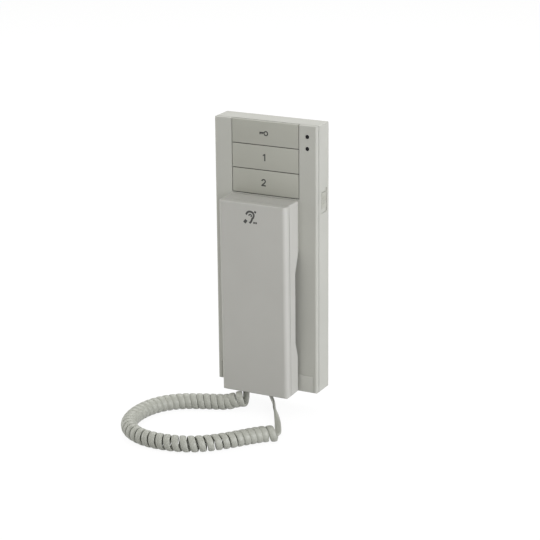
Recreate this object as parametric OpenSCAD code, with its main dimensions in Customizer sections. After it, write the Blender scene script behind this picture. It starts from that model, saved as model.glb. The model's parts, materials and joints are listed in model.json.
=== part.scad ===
// Wall audio station with a corded handset, three keys and a curly cord.
// The origin is the middle of the wall screws on the wall; the front faces -Y and +Z is up.

/* [Wall station] */
// Width of the wall station
base_w = 90; // [88:1:110]
// Height of the wall station
base_h = 220; // [214:1:260]
// Depth from the wall to the front face
base_d = 21; // [20:0.5:28]
// Rounding of the front's upper and lower edges
edge_r = 0.8; // [0.4:0.1:2.4]
// Rounding of the front's left and right edges
side_r = 2; // [0.4:0.1:2.4]
// Rounding of the outline's corners
corner_r = 0.8; // [0.6:0.1:4]
// Thickness of the front cover
cover_t = 2.8; // [2.4:0.1:3.4]
// Shadow gap between the front cover and the housing
groove_w = 0.8; // [0.3:0.1:1]
// Wall thickness of the housing
wall_t = 2; // [1.6:0.1:2.6]
// Height of the lower cover
lower_h = 14.4; // [12:0.2:18]
// Frame of the front cover left and right of the lower cover
lower_side = 3.5; // [2.5:0.5:6]
// Gap round the lower cover
lower_gap = 0.25; // [0.15:0.05:0.6]

/* [Wall plate] */
// Thickness of the steel wall plate
plate_t = 1.5; // [1:0.1:2]
// Width of the wall plate
plate_w = 72; // [60:1:76]
// Height of the wall plate
plate_h = 190; // [170:1:196]
// Rounding of the wall plate's corners
plate_corner_r = 3; // [1:0.5:5]
// Distance between the two wall screws
screw_span = 60; // [50:1:80]
// Radius of the wall screw holes
screw_hole_r = 2.25; // [1.8:0.05:3]
// Room round a wall screw's head in the housing
screw_head_room = 2.4; // [2:0.1:4]
// Width of the cable window
window_w = 34; // [24:1:44]
// Height of the cable window
window_h = 28; // [20:1:34]
// Rim of the housing inside the edge of the wall plate's cable window
window_rim = 2; // [1:0.5:3]
// Width of a hook on the wall plate
hook_w = 8; // [6:0.5:12]
// Height of a hook's lip
hook_lip = 4; // [3:0.5:6]

/* [Keys] */
// Width of the keys
key_w = 58; // [50:0.5:60]
// Height of one key with its gap
key_pitch = 20; // [18:0.5:21]
// Height of the top key with its gap
key_top = 19.4; // [18:0.2:21]
// Gap round the keys
key_gap = 0.6; // [0.4:0.1:0.8]
// Travel of a key
key_travel = 0.8; // [0.4:0.1:1]
// Thickness of the top key's lip over the top edge
key_lip_t = 2; // [1.6:0.1:2.2]
// Width of a key's flange behind the cover, past the key
key_flange = 1.9; // [1.4:0.1:2.2]
// Thickness of a key's flange
key_flange_t = 1.2; // [1:0.1:1.6]
// Radius of a key's guide posts
post_r = 2; // [1.5:0.1:2.5]
// Distance between a key's two guide posts
post_span = 44; // [30:1:48]

/* [Lights and slider] */
// Radius of the two status lights
light_r = 1.6; // [1.2:0.1:2]
// Distance of the lights from the right edge
light_side = 8.4; // [7.8:0.1:9]
// Distance of the upper light from the top edge
light_top = 8.7; // [7:0.1:12]
// Distance between the two lights
light_span = 9.6; // [8:0.1:12]
// Height of the volume slider's recess
slide_recess_h = 20; // [18:0.5:24]
// Depth of the recess along the side, front to back
slide_recess_d = 10; // [8:0.5:11]
// How deep the recess is cut
slide_recess_t = 0.8; // [0.6:0.1:1.6]
// Travel of the slider each way
slide_travel = 2.5; // [1.5:0.5:3]
// Height of the slider's knob
knob_h = 13; // [11:0.5:13]
// Distance of the slider from the top edge
slide_top = 61.5; // [56:0.5:70]

/* [Handset] */
// Width of the handset
hs_w = 59; // [56:0.5:62]
// Length of the handset
hs_l = 159; // [154:0.5:159.5]
// Forward lean of the handset's front, in degrees
hs_lean = 0.8; // [0:0.1:1.2]
// How far the front of its lower end stands off the station
hs_front = 22.3; // [21:0.1:26]
// How far its bottom lies above the station's bottom
hs_rise = 0.5; // [0:0.1:2]
// Rounding of the upper and lower front edges of the handset
hs_edge_r = 1; // [0.6:0.1:4]
// Rounding of its left and right front edges
hs_side_r = 3.4; // [0.6:0.1:4]
// Rounding of the outline's corners
hs_corner_r = 1.2; // [0.8:0.1:5]
// Wall thickness of the shells
hs_wall = 2; // [1.6:0.1:2.4]
// Depth of the front shell
hs_split = 6.3; // [5:0.1:8]
// Shadow gap between the two shells
hs_groove = 0.6; // [0.2:0.05:0.8]
// Stand-off of the back of the mouth end
mouth_off = 3.6; // [3:0.1:5]
// Stand-off of the back of the grip
grip_off = 7.6; // [6:0.1:9]
// Stand-off of the back of the ear end
ear_off = 2.7; // [2.4:0.1:4]
// Length of the mouth end
mouth_l = 30.8; // [28:0.2:36]
// Length of the slope from the mouth end to the grip
mouth_slope = 11.9; // [8:0.1:14]
// Length of the ear end
ear_l = 43.5; // [42:0.5:48]
// Length of the slope from the ear end to the grip
ear_slope = 14.5; // [10:0.5:18]
// Radius of the dish in the ear end
dish_r = 18; // [16:0.5:20]
// Depth of the dish
dish_t = 3.2; // [2.6:0.1:4]

/* [Handset rest] */
// Gap between the handset and what it rests on
rest_gap = 0.3; // [0.2:0.1:0.5]
// Radius of the boss that the ear end hangs on
boss_r = 16; // [12:0.5:16]
// Height of that boss above the ear seat
boss_t = 2.6; // [2:0.1:2.8]
// Inset of the ear seat from the handset's sides
seat_side = 1; // [0.8:0.1:6]
// Radius of the seat under the mouth end
mouth_seat_r = 13; // [10:0.5:14]
// Radius of the hook plunger
plunger_r = 3; // [2:0.1:4]
// Travel of the hook plunger
plunger_travel = 2.5; // [1.5:0.1:2.6]

/* [Cord] */
// Width of the flat cord
band_w = 4.4; // [3:0.1:4.6]
// Thickness of the flat cord
band_t = 2.4; // [1.6:0.1:2.6]
// Outer diameter of the curls
coil_d = 13; // [10:0.1:13.4]
// Number of curls
curls = 45; // [30:1:46]

/* [Boards and fittings] */
// Depth of the main board's face behind the front face
board_in = 11.4; // [11:0.1:12.4]
// Thickness of the main board
board_t = 1.6; // [1:0.1:2]
// Rim between the main board and the housing's walls
board_rim = 3; // [2:0.5:5]
// Edge length of a key switch
switch_w = 6; // [5:0.5:8]
// Radius of a key switch's plunger
switch_r = 1.75; // [1.2:0.05:2]
// Radius of the ringer
ringer_r = 15; // [10:0.5:18]
// Height of the ringer
ringer_t = 6; // [4:0.5:6.5]
// Radius of the ear speaker
speaker_r = 15.5; // [13:0.5:16]
// Thickness of the ear speaker
speaker_t = 7; // [5:0.5:8]
// Radius of the microphone
mic_r = 4.85; // [4:0.05:6]
// Thickness of the steel weight in the grip
weight_t = 4; // [2:0.5:5]
// Width of the steel weight in the grip
weight_w = 35; // [20:1:44]
// Radius of the screw shanks
shank_r = 1.25; // [1:0.05:1.5]
// Radius of the screw heads
head_r = 2.8; // [2.4:0.1:3]
// Height of the screw heads
head_t = 1.6; // [1.2:0.1:1.8]

/* [Hidden] */
$fn = 64;

// Colours of the finishes
shell_grey = "#b4b3ad";
key_grey = "#adaca5";
cord_grey = "#9fa098";
dark = "#26272a";
steel = "#9a9da1";
board_green = "#2f5d43";
brass = "#b8975a";

// Clearances
run_fit = 0.05;
slip_fit = 0.15;
free_gap = 0.3;
screw_fit = 0.02;
bite = 0.01;

// Hooks of the wall plate
plate_hook_in = 12;
plate_hook_top = 20;
plate_hook_x = plate_w / 2 - plate_hook_in;
plate_hook_z = plate_h / 2 - plate_hook_top;

// Levels of the wall station, front to back
front_y = -base_d;
cover_back = front_y + cover_t;
housing_front = cover_back + groove_w;
housing_back = -plate_t;
housing_floor = housing_back - wall_t;
board_front = front_y + board_in;
board_back = board_front + board_t;
top_z = base_h / 2;
bottom_z = -base_h / 2;
side_x = base_w / 2;

// Keys
frame_gap = 0.5;
key_zone = key_top + 2 * key_pitch;
key_zone_z = top_z - key_zone;
notch_x = key_w / 2 + key_gap;
notch_z = key_zone_z - key_gap / 2;
flange_front = cover_back + free_gap;
flange_back = flange_front + key_flange_t;
frame_front = flange_back + key_travel + frame_gap;
frame_t = 1.8;
frame_back = frame_front + frame_t;
frame_x = key_w / 2 + key_flange + 1.7;
frame_rim = 2;
stake_r = 1.5;
sleeve_r = 3;
stake_x = frame_x + sleeve_r - 0.4;
stake_in = 5;
stake_span = 28;
stake_z = [key_zone_z + stake_in, key_zone_z + stake_in + stake_span];
plunger_dip = 0.6;
switch_top = frame_back + frame_gap;
plunger_top = switch_top - key_travel - free_gap;
plunger_end = switch_top + plunger_dip;
switch_well = plunger_end + key_travel + 2 * free_gap;
actuator_r = 2.5;
post_end = frame_back + 1.4;

// Status lights
light_x = side_x - light_side;
light_z = [top_z - light_top, top_z - light_top - light_span];
light_flange = 0.8;
led_t = 1.6;
led_w = 3;

// Volume slider on the right side
slide_off = 1.2;
slide_y = (housing_front + housing_back) / 2 + slide_off;
slide_z = top_z - slide_top;
slide_floor = side_x - slide_recess_t;
slide_pad_t = 2;
slide_pad = slide_floor - slide_pad_t;
slide_recess_r = 1;
stem_d = 3;
stem_h = 2.5;
knob_d = 9;
knob_x = slide_floor + free_gap;
knob_top = side_x;
rib_pitch = 2.4;
rib_t = 0.6;
stem_dip = 1.5;
slot_dip = 2;
slide_body_w = 6;
slide_body_d = 6;
slide_body_h = 18;
slide_body_x = slide_pad - free_gap;

// Handset
hs_z = bottom_z + hs_rise;
hs_top = hs_z + hs_l;
mouth_y = front_y - mouth_off;
grip_y = front_y - grip_off;
ear_y = front_y - ear_off;
grip_low = hs_z + mouth_l + mouth_slope;
grip_high = hs_top - ear_l - ear_slope;
dish_top = 3.5;
ear_z = hs_top - dish_top - dish_r;
dish_floor = ear_y - dish_t;
block_d = 60;
lip_t = 1;
housing_lip_in = 1.2;
lip_reach = 1.6;
ear_hole_r = 1.25;
ear_ring_r = 6;
gasket_t = 1;
gasket_w = 3;
speaker_y = dish_floor - hs_wall - gasket_t;
speaker_rim_t = 4;
speaker_ring_t = 1.2;
magnet_r = 9.3;
coil_t = 2.5;
coil_rim = 1;
mic_x = 8;
mic_rise = 14;
mic_z = hs_z + mic_rise;
mic_t = 5;
boot_t = 1.5;
mic_wall = mouth_y - hs_wall;
mic_hole_r = 0.8;
mic_hole_pitch = 3;

// Handset rest on the front cover
ear_seat_y = ear_y + rest_gap;
boss_z = ear_z + dish_r - rest_gap - boss_r;
mouth_seat_y = mouth_y + rest_gap;
hook_rise = 21;
hook_z = hs_z + hook_rise;
collar_r = 4.6;
collar_t = 1.2;
collar_y = cover_back + plunger_travel + free_gap;
hook_top = collar_y + collar_t + free_gap;
hook_body_w = 13;
hook_body_h = 6.4;
hook_button_r = 1.2;
hook_button_t = 0.5;

// Sockets and plugs of the cord
base_plug_at = [-4, -12];
hs_plug_at = [-11.5, -36];
hs_plug_in = 3;
plug_w = 7.6;
plug_d = 6.4;
plug_l = 12;
socket_wall = 1.8;
socket_top = 1.5;

// Terminal block above the ringer
terminal_h = 8;
terminal_t = 7;
terminal_pitch = 5;
terminal_gap = 5;
terminal_z = -window_h / 2 - terminal_gap - terminal_h / 2;
terminal_top = board_front - terminal_t;
clamp_r = 1.5;
clamp_t = 2.5;
clamp_sink = 0.5;
wire_r = 1.2;
ringer_gap = 6;
ringer_z = terminal_z - terminal_h / 2 - ringer_gap - ringer_r;
ringer_hole_r = 1.5;
grille_w = 22;
grille_step = 3;
grille_pitch = 4;
grille_slot = 1.6;

// Screws
board_w = base_w - 2 * wall_t - 2 * board_rim;
board_foot = 20;
board_low = bottom_z + board_foot;
board_high = top_z - wall_t - 2 * board_rim;
board_screw_in = 4;
board_screw_x = board_w / 2 - board_screw_in;
board_screw_top = 32;
board_screw_low = 9;
board_screw_z = [board_high - board_screw_top, board_low + board_screw_low];
pillar_r = 3.4;
screw_l = 4.6;
lower_x = side_x - lower_side;
lower_z = bottom_z + lower_h;
tab_t = 1.5;
tab_back = cover_back + head_t + 0.6 + tab_t;
tab_w = 15;
tab_side = 2.5;
tab_x = lower_x - tab_side - tab_w / 2;
tab_h = 5;
tab_z = bottom_z + wall_t + 1 + tab_h;
pin_r = 1.2;
pin_off = 5;
pin_x = tab_x - pin_off;
hs_screw_in = 6;
hs_screw_z = [grip_low + hs_screw_in, grip_high - hs_screw_in];
hs_screw_l = 6.5;
hs_boss_r = 4.4;
hs_boss_t = 5;
hs_boss_y = grip_y - hs_boss_t;
sink_t = head_t + 0.5;
weight_gap = 3.6;

// Cord route: the middle line of the curls, from below the handset's plug along the table
curl_route = [
  [-10, -41, -116.3], [-15, -42.5, -116.9], [-20.5, -44, -118.8], [-26.5, -46, -120],
  [-42, -52, -120], [-57, -59, -120], [-68, -69, -120], [-75, -83, -120], [-77, -101, -120],
  [-73, -118, -120], [-63, -131, -120], [-47, -139, -120], [-28, -140, -120],
  [-11, -136, -120], [2, -128, -120], [14, -116, -120], [25, -102, -120], [33, -93, -120],
  [40, -88, -120]
];
// Cord route: the plain lead, from the last curl along the table and up to the station
lead_route = [
  [36, -74, -125], [29, -60, -125], [24, -51, -124.5], [18, -41, -124], [12, -32, -124],
  [7, -23, -124], [2, -16, -123.5], [-2, -12.5, -121], [-4, -12, -117], [-4, -12, -110]
];
rings_per_curl = 8;
curl_steps = 10;
lead_steps = 2;
// Part of a curl more, so that the first one starts at its back, straight below the plug
curl_part = 0.25;
turns = curls + curl_part;
// How much the curls crowd at the far end and along the first half, and how the last one spreads
crowd_far = 0.010;
crowd_near = 0.004;
spread_last = 0.008;
spread_reach = 0.03;
curl_r = (coil_d - band_t) / 2;

// Shapes
module rounded(w, h, r) {
  square([w - 2 * r, h], center = true);
  square([w, h - 2 * r], center = true);
  for (sx = [-1, 1], sy = [-1, 1])
    translate([sx * (w / 2 - r), sy * (h / 2 - r)])
      circle(r);
}

// Block between two opposite corners
module slab(low, high) {
  translate(low)
    cube(high - low);
}

// Round bar along Y from one level to another, at a place in X and Z
module bar(r, from, to, x = 0, z = 0) {
  translate([x, from, z])
    rotate([-90, 0, 0])
      cylinder(r = r, h = to - from);
}

// Outline in X and Z as a plate from one level to another
module plate(from, to) {
  translate([0, to, 0])
    rotate([90, 0, 0])
      linear_extrude(to - from)
        children();
}

// Side profile in Y and Z as a block of a width, centred in X
module side_block(w) {
  translate([-w / 2, 0, 0])
    rotate([90, 0, 90])
      linear_extrude(w)
        children();
}

// Block with its front at Y 0: rounded edges above and below, at the sides, and corners
module soft_block(w, d, h, edge, side, corner) {
  intersection() {
    plate(0, d)
      rounded(w, h, corner);
    translate([0, d / 2, -h / 2])
      linear_extrude(h)
        rounded(w, d, side);
    side_block(w)
      translate([d / 2, 0])
        rounded(d, h, edge);
  }
}

// Countersunk or flat screw along Y with its head in front
module screw(seat, l) {
  bar(head_r, seat - head_t, seat);
  bar(shank_r, seat, seat + l);
}

// Whole outer form of the wall station
module station_form() {
  translate([0, front_y, 0])
    soft_block(base_w, block_d, base_h, edge_r, side_r, corner_r);
}

// Whole form of the handset, inset by the thickness of what lies outside
module handset_form(inset = 0) {
  edge = max(hs_edge_r - inset, 0.4);
  side = max(hs_side_r - inset, 0.4);
  corner = max(hs_corner_r - inset, 0.4);
  intersection() {
    handset_frame()
      translate([0, inset, hs_l / 2])
        soft_block(hs_w - 2 * inset, block_d, hs_l - 2 * inset, edge, side, corner);
    side_block(hs_w)
      handset_profile(inset);
  }
}

// Frame of the handset: front face at Y 0 and bottom at Z 0
module handset_frame() {
  translate([0, front_y - hs_front, hs_z])
    rotate([hs_lean, 0, 0])
      children();
}

// Side profile of the handset's back
module handset_profile(inset) {
  front = front_y - block_d;
  polygon([
    [front, hs_z - block_d], [mouth_y - inset, hs_z - block_d],
    [mouth_y - inset, hs_z + mouth_l], [grip_y - inset, grip_low],
    [grip_y - inset, grip_high], [ear_y - inset, hs_top - ear_l],
    [ear_y - inset, hs_top + block_d], [front, hs_top + block_d]
  ]);
}

// Space in front of or behind a level of the handset's depth
module handset_slice(from, to) {
  handset_frame()
    slab([-hs_w, from, -block_d], [hs_w, to, hs_l + block_d]);
}

// Wall station: fixed pieces
module wall_plate() {
  color(steel)
    difference() {
      union() {
        plate(-plate_t, 0)
          rounded(plate_w, plate_h, plate_corner_r);
        for (sx = [-1, 1])
          translate([sx * plate_hook_x, 0, plate_hook_z])
            plate_hook();
      }
      for (s = [-1, 1])
        bar(screw_hole_r, -plate_t - 1, 1, 0, s * screw_span / 2);
      slab([-window_w / 2, -plate_t - 1, -window_h / 2], [window_w / 2, 1, window_h / 2]);
    }
}
module plate_hook() {
  tip = housing_floor - free_gap;
  slab([-hook_w / 2, tip - plate_t, 0], [hook_w / 2, -plate_t / 2, plate_t]);
  slab([-hook_w / 2, tip - plate_t, 0], [hook_w / 2, tip, plate_t + hook_lip]);
}

module rear_housing() {
  color(shell_grey)
    difference() {
      union() {
        housing_shell();
        housing_lip();
        housing_pillars();
        slider_pad();
      }
      housing_cuts();
    }
}
module housing_shell() {
  difference() {
    intersection() {
      station_form();
      slab([-base_w, housing_front, -base_h], [base_w, 0, base_h]);
    }
    plate(housing_front - 1, housing_floor)
      rounded(base_w - 2 * wall_t, base_h - 2 * wall_t, max(corner_r - wall_t, 0.5));
    plate(-plate_t, 1)
      rounded(plate_w + 2 * free_gap, plate_h + 2 * free_gap, plate_corner_r);
  }
}
module housing_lip() {
  inner = housing_lip_in + lip_t;
  difference() {
    plate(cover_back, housing_front + bite)
      difference() {
        rounded(base_w - 2 * housing_lip_in, base_h - 2 * housing_lip_in,
                max(corner_r - housing_lip_in, 0.6));
        rounded(base_w - 2 * inner, base_h - 2 * inner, max(corner_r - inner, 0.5));
      }
    slab([-notch_x - 1, -base_d, key_zone_z], [notch_x + 1, 0, base_h]);
  }
}
module housing_pillars() {
  for (sx = [-1, 1]) {
    for (z = board_screw_z)
      bar(pillar_r, board_back, housing_floor + bite, sx * board_screw_x, z);
    bar(pillar_r, tab_back, housing_floor + bite, sx * tab_x, tab_z);
  }
}
module slider_pad() {
  h = slide_recess_h + 2 * wall_t;
  d = slide_recess_d + 2;
  slab([slide_pad, slide_y - d / 2, slide_z - h / 2],
       [side_x - wall_t / 2, slide_y + d / 2, slide_z + h / 2]);
}
module housing_cuts() {
  rim_w = window_w / 2 - window_rim;
  rim_h = window_h / 2 - window_rim;
  slab([-rim_w, housing_floor - 1, -rim_h], [rim_w, 1, rim_h]);
  for (s = [-1, 1])
    bar(screw_hole_r + screw_head_room, housing_floor - 1, 1, 0, s * screw_span / 2);
  for (sx = [-1, 1]) {
    translate([sx * plate_hook_x, 0, plate_hook_z])
      slab([-hook_w / 2 - free_gap, housing_floor - 1, -hook_lip - 1],
           [hook_w / 2 + free_gap, 0, plate_t + slip_fit]);
    for (z = board_screw_z)
      bar(shank_r + screw_fit, board_back - 1, board_back + screw_l - board_t + 0.5, sx * board_screw_x, z);
    bar(shank_r + screw_fit, tab_back - 1, tab_back + screw_l, sx * tab_x, tab_z);
  }
  // Recess, and slot for the stem of the volume slider
  plate_cut_x(slide_floor, side_x + 1, slide_recess_d, slide_recess_h, slide_recess_r);
  plate_cut_x(slide_pad - 1, side_x, stem_d + 2 * free_gap, stem_h + 2 * slide_travel + 2 * free_gap, 0.6);
  // Way in for the plug
  translate([base_plug_at.x, base_plug_at.y, bottom_z - 1])
    linear_extrude(wall_t + 2)
      square([plug_d + 2 * slip_fit, plug_w + 2 * slip_fit], center = true);
}
// Rounded cut through the right side wall at the slider
module plate_cut_x(from, to, d, h, r) {
  translate([from, slide_y, slide_z])
    rotate([90, 0, 90])
      linear_extrude(to - from)
        rounded(d, h, r);
}

module front_cover() {
  color(shell_grey)
    difference() {
      union() {
        cover_plate();
        handset_seats();
        cover_tabs();
        for (sx = [-1, 1], z = stake_z)
          bar(stake_r, cover_back - bite, frame_back + 0.6, sx * stake_x, z);
      }
      for (z = light_z)
        bar(light_r + run_fit, front_y - 1, cover_back + 1, light_x, z);
      bar(plunger_r + run_fit, mouth_seat_y - 1, cover_back + 1, 0, hook_z);
      ringer_grille();
    }
}
module cover_plate() {
  difference() {
    intersection() {
      station_form();
      slab([-base_w, front_y, -base_h], [base_w, cover_back, base_h]);
    }
    slab([-notch_x, front_y - 1, notch_z], [notch_x, cover_back + 1, base_h]);
    slab([-lower_x, front_y - 1, -base_h], [lower_x, cover_back + 1, lower_z]);
  }
}
module handset_seats() {
  seat_h = ear_l - 2 * seat_side;
  translate([0, 0, hs_top - ear_l / 2])
    plate(ear_seat_y, front_y + bite)
      rounded(hs_w - 2 * seat_side, seat_h, hs_corner_r);
  bar(boss_r, ear_seat_y - boss_t, front_y, 0, boss_z);
  bar(mouth_seat_r, mouth_seat_y, front_y + bite, 0, hook_z);
}
module cover_tabs() {
  for (sx = [-1, 1])
    translate([sx * tab_x, 0, 0])
      difference() {
        union() {
          slab([-tab_w / 2, tab_back - tab_t, tab_z - tab_h], [tab_w / 2, tab_back, lower_z + tab_t]);
          slab([-tab_w / 2, cover_back - bite, lower_z], [tab_w / 2, tab_back, lower_z + tab_t]);
        }
        bar(shank_r + slip_fit, tab_back - tab_t - 1, tab_back + 1, 0, tab_z);
        bar(pin_r + slip_fit, tab_back - tab_t - 1, tab_back + 1, -sx * pin_off, tab_z);
      }
}
module ringer_grille() {
  for (i = [-2:2])
    translate([0, 0, ringer_z + i * grille_pitch])
      plate(front_y - 1, cover_back + 1)
        rounded(grille_w - grille_step * abs(i), grille_slot, grille_slot * 0.49);
}

module lower_cover() {
  color(shell_grey) {
    intersection() {
      station_form();
      slab([-lower_x + lower_gap, front_y, -base_h], [lower_x - lower_gap, cover_back, lower_z - lower_gap]);
    }
    for (sx = [-1, 1])
      bar(pin_r, cover_back - bite, tab_back - tab_t + 1, sx * pin_x, tab_z);
  }
}

module key_frame() {
  color(dark)
    difference() {
      union() {
        slab([-frame_x, frame_front, key_zone_z - frame_rim], [frame_x, frame_back, top_z - wall_t - 1]);
        for (sx = [-1, 1], z = stake_z) {
          bar(sleeve_r, cover_back, frame_back, sx * stake_x, z);
          slab([min(sx * stake_x, sx * frame_x), frame_front, z - sleeve_r],
               [max(sx * stake_x, sx * frame_x), frame_back, z + sleeve_r]);
        }
      }
      for (sx = [-1, 1], z = stake_z)
        bar(stake_r + run_fit, cover_back - 1, frame_back + 1, sx * stake_x, z);
      light_ways();
      for (i = [0:2]) {
        bar(actuator_r + free_gap, frame_front - 1, frame_back + 1, 0, key_mid(i));
        for (sx = [-1, 1])
          bar(post_r + run_fit, frame_front - 1, frame_back + 1, sx * post_span / 2, key_mid(i));
      }
    }
}

module main_board() {
  color(board_green)
    difference() {
      slab([-board_w / 2, board_front, board_low], [board_w / 2, board_back, board_high]);
      for (sx = [-1, 1], z = board_screw_z)
        bar(shank_r + slip_fit, board_front - 1, board_back + 1, sx * board_screw_x, z);
      slab([-window_w / 2, board_front - 1, -window_h / 2], [window_w / 2, board_back + 1, window_h / 2]);
      slab([slide_body_x - slide_body_w - free_gap, board_front - 1, slide_z - slide_body_h / 2 - free_gap],
           [base_w, board_back + 1, slide_z + slide_body_h / 2 + free_gap]);
    }
}

// Switch under a key, with a well for its plunger
module key_switch(i) {
  color(dark)
    translate([0, 0, key_mid(i)])
      difference() {
        slab([-switch_w / 2, switch_top, -switch_w / 2], [switch_w / 2, board_front, switch_w / 2]);
        bar(switch_r + 2 * run_fit, switch_top - 1, switch_well);
      }
}
module door_switch() { key_switch(0); }
module call_switch_1() { key_switch(1); }
module call_switch_2() { key_switch(2); }

// Room round the light pipes
module light_ways() {
  for (z = light_z)
    bar(light_r + light_flange + free_gap, cover_back - 1, board_front, light_x, z);
}
module light_pipe(i) {
  color(dark) {
    bar(light_r, front_y, cover_back + bite, light_x, light_z[i]);
    bar(light_r + light_flange, cover_back, cover_back + 1, light_x, light_z[i]);
    bar(light_r, cover_back, board_front - led_t, light_x, light_z[i]);
  }
}
module light_pipe_upper() { light_pipe(0); }
module light_pipe_lower() { light_pipe(1); }

module status_leds() {
  color("whitesmoke")
    for (z = light_z)
      slab([light_x - led_w / 2, board_front - led_t, z - led_w / 2],
           [light_x + led_w / 2, board_front, z + led_w / 2]);
}

module hook_switch() {
  color(dark) {
    slab([-hook_body_w / 2, hook_top + hook_button_t, hook_z - hook_body_h / 2],
         [hook_body_w / 2, board_front, hook_z + hook_body_h / 2]);
    bar(hook_button_r, hook_top, board_front, 0, hook_z);
  }
}

module ringer() {
  color(dark)
    difference() {
      bar(ringer_r, board_front - ringer_t, board_front, 0, ringer_z);
      bar(ringer_hole_r, board_front - ringer_t - 1, board_front - 1, 0, ringer_z);
    }
}

module terminal_block() {
  color("#4d7a57")
    difference() {
      slab([-2 * terminal_pitch, terminal_top, terminal_z - terminal_h / 2],
           [2 * terminal_pitch, board_front, terminal_z + terminal_h / 2]);
      for (i = [-1.5:1.5]) {
        bar(clamp_r + 2 * run_fit, terminal_top - 1, terminal_top + clamp_t, i * terminal_pitch, terminal_z);
        translate([i * terminal_pitch, board_front - wire_r - 1, terminal_z])
          cylinder(r = wire_r, h = terminal_h);
      }
    }
}
module terminal_screws() {
  color(brass)
    for (i = [-1.5:1.5])
      bar(clamp_r, terminal_top + clamp_sink, terminal_top + clamp_t, i * terminal_pitch, terminal_z);
}

module volume_switch() {
  low = [slide_body_x - slide_body_w, slide_y - slide_body_d / 2, slide_z - slide_body_h / 2];
  high = [slide_body_x, slide_y + slide_body_d / 2, slide_z + slide_body_h / 2];
  slot_h = stem_h + 2 * slide_travel + 2 * free_gap;
  color(dark)
    difference() {
      slab(low, high);
      slab([high.x - slot_dip, slide_y - stem_d / 2 - free_gap, slide_z - slot_h / 2],
           [high.x + 1, slide_y + stem_d / 2 + free_gap, slide_z + slot_h / 2]);
    }
}

// Jack with a well for the plug, its mouth down at Z 0
module socket(w, d, l) {
  difference() {
    translate([-w / 2 - socket_wall, -d / 2 - socket_wall, 0])
      cube([w + 2 * socket_wall, d + 2 * socket_wall, l + socket_top]);
    translate([-w / 2 - slip_fit, -d / 2 - slip_fit, -1])
      cube([w + 2 * slip_fit, d + 2 * slip_fit, l + 1 + slip_fit]);
  }
}
module base_socket() {
  color(dark)
    translate([base_plug_at.x, base_plug_at.y, bottom_z + wall_t])
      socket(plug_d, plug_w, plug_l - wall_t);
}
module base_plug() {
  color("gainsboro")
    translate([base_plug_at.x - plug_d / 2, base_plug_at.y - plug_w / 2, bottom_z])
      cube([plug_d, plug_w, plug_l]);
}

module board_screws() {
  color(steel)
    for (sx = [-1, 1], z = board_screw_z)
      translate([sx * board_screw_x, 0, z])
        screw(board_front, screw_l);
}
module cover_screws() {
  color(steel)
    for (sx = [-1, 1])
      translate([sx * tab_x, 0, tab_z])
        screw(tab_back - tab_t, screw_l);
}

// Keys and their switch plungers
function key_low(i) = i == 0 ? top_z - key_top + key_gap / 2 : key_low(0) - i * key_pitch;
function key_high(i) = i == 0 ? top_z : key_low(i) + key_pitch - key_gap;
function key_mid(i) = (key_low(i) + key_high(i)) / 2;
module key(i) {
  low = key_low(i);
  high = key_high(i);
  lip = i == 0 ? top_z - wall_t - 1 : high;
  flange_x = key_w / 2 + key_flange;
  color(key_grey) {
    intersection() {
      station_form();
      union() {
        slab([-key_w / 2, front_y, low], [key_w / 2, flange_front + bite, lip]);
        slab([-key_w / 2, front_y, low], [key_w / 2, front_y + key_lip_t, high]);
      }
    }
    difference() {
      slab([-flange_x, flange_front, low + key_gap], [flange_x, flange_back, lip - key_gap]);
      light_ways();
    }
    for (sx = [-1, 1])
      bar(post_r, flange_back - bite, post_end, sx * post_span / 2, key_mid(i));
    bar(actuator_r, flange_back - bite, plunger_top, 0, key_mid(i));
  }
}
module key_plunger(i) {
  color("black")
    bar(switch_r, plunger_top, plunger_end, 0, key_mid(i));
}
module door_key() { key(0); }
module call_key_1() { key(1); }
module call_key_2() { key(2); }
module door_plunger() { key_plunger(0); }
module call_plunger_1() { key_plunger(1); }
module call_plunger_2() { key_plunger(2); }

module hook_plunger() {
  color(key_grey) {
    bar(plunger_r, mouth_seat_y, collar_y + bite, 0, hook_z);
    bar(collar_r, collar_y, collar_y + collar_t, 0, hook_z);
  }
}

module volume_slider() {
  color(key_grey)
    difference() {
      union() {
        slab([knob_x, slide_y - knob_d / 2, slide_z - knob_h / 2],
             [knob_top, slide_y + knob_d / 2, slide_z + knob_h / 2]);
        slab([slide_body_x - stem_dip, slide_y - stem_d / 2, slide_z - stem_h / 2],
             [knob_x + bite, slide_y + stem_d / 2, slide_z + stem_h / 2]);
      }
      for (i = [-1:1])
        translate([knob_top, slide_y, slide_z + i * rib_pitch])
          cube([rib_t, 2 * knob_d, rib_t], center = true);
    }
}

// Handset
module handset_front() {
  color(shell_grey)
    difference() {
      union() {
        difference() {
          handset_form();
          handset_form(hs_wall);
        }
        intersection() {
          handset_form(hs_wall / 2);
          for (z = hs_screw_z)
            bar(pillar_r, front_y - block_d, hs_boss_y, 0, z);
        }
      }
      handset_slice_behind();
      for (z = hs_screw_z)
        bar(shank_r + screw_fit, hs_boss_y - hs_screw_l, hs_boss_y + 1, 0, z);
      plug_cut();
    }
}
// What lies behind the front shell, apart from its screw bosses
module handset_slice_behind() {
  difference() {
    handset_slice(hs_split, block_d);
    for (z = hs_screw_z)
      bar(pillar_r, front_y - block_d, hs_boss_y, 0, z);
  }
}
// Way in for the plug through the bottom wall
module plug_cut() {
  translate([hs_plug_at.x, hs_plug_at.y, hs_z - 2])
    linear_extrude(hs_wall + 4)
      square([plug_w + 2 * slip_fit, plug_d + 2 * slip_fit], center = true);
}

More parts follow.
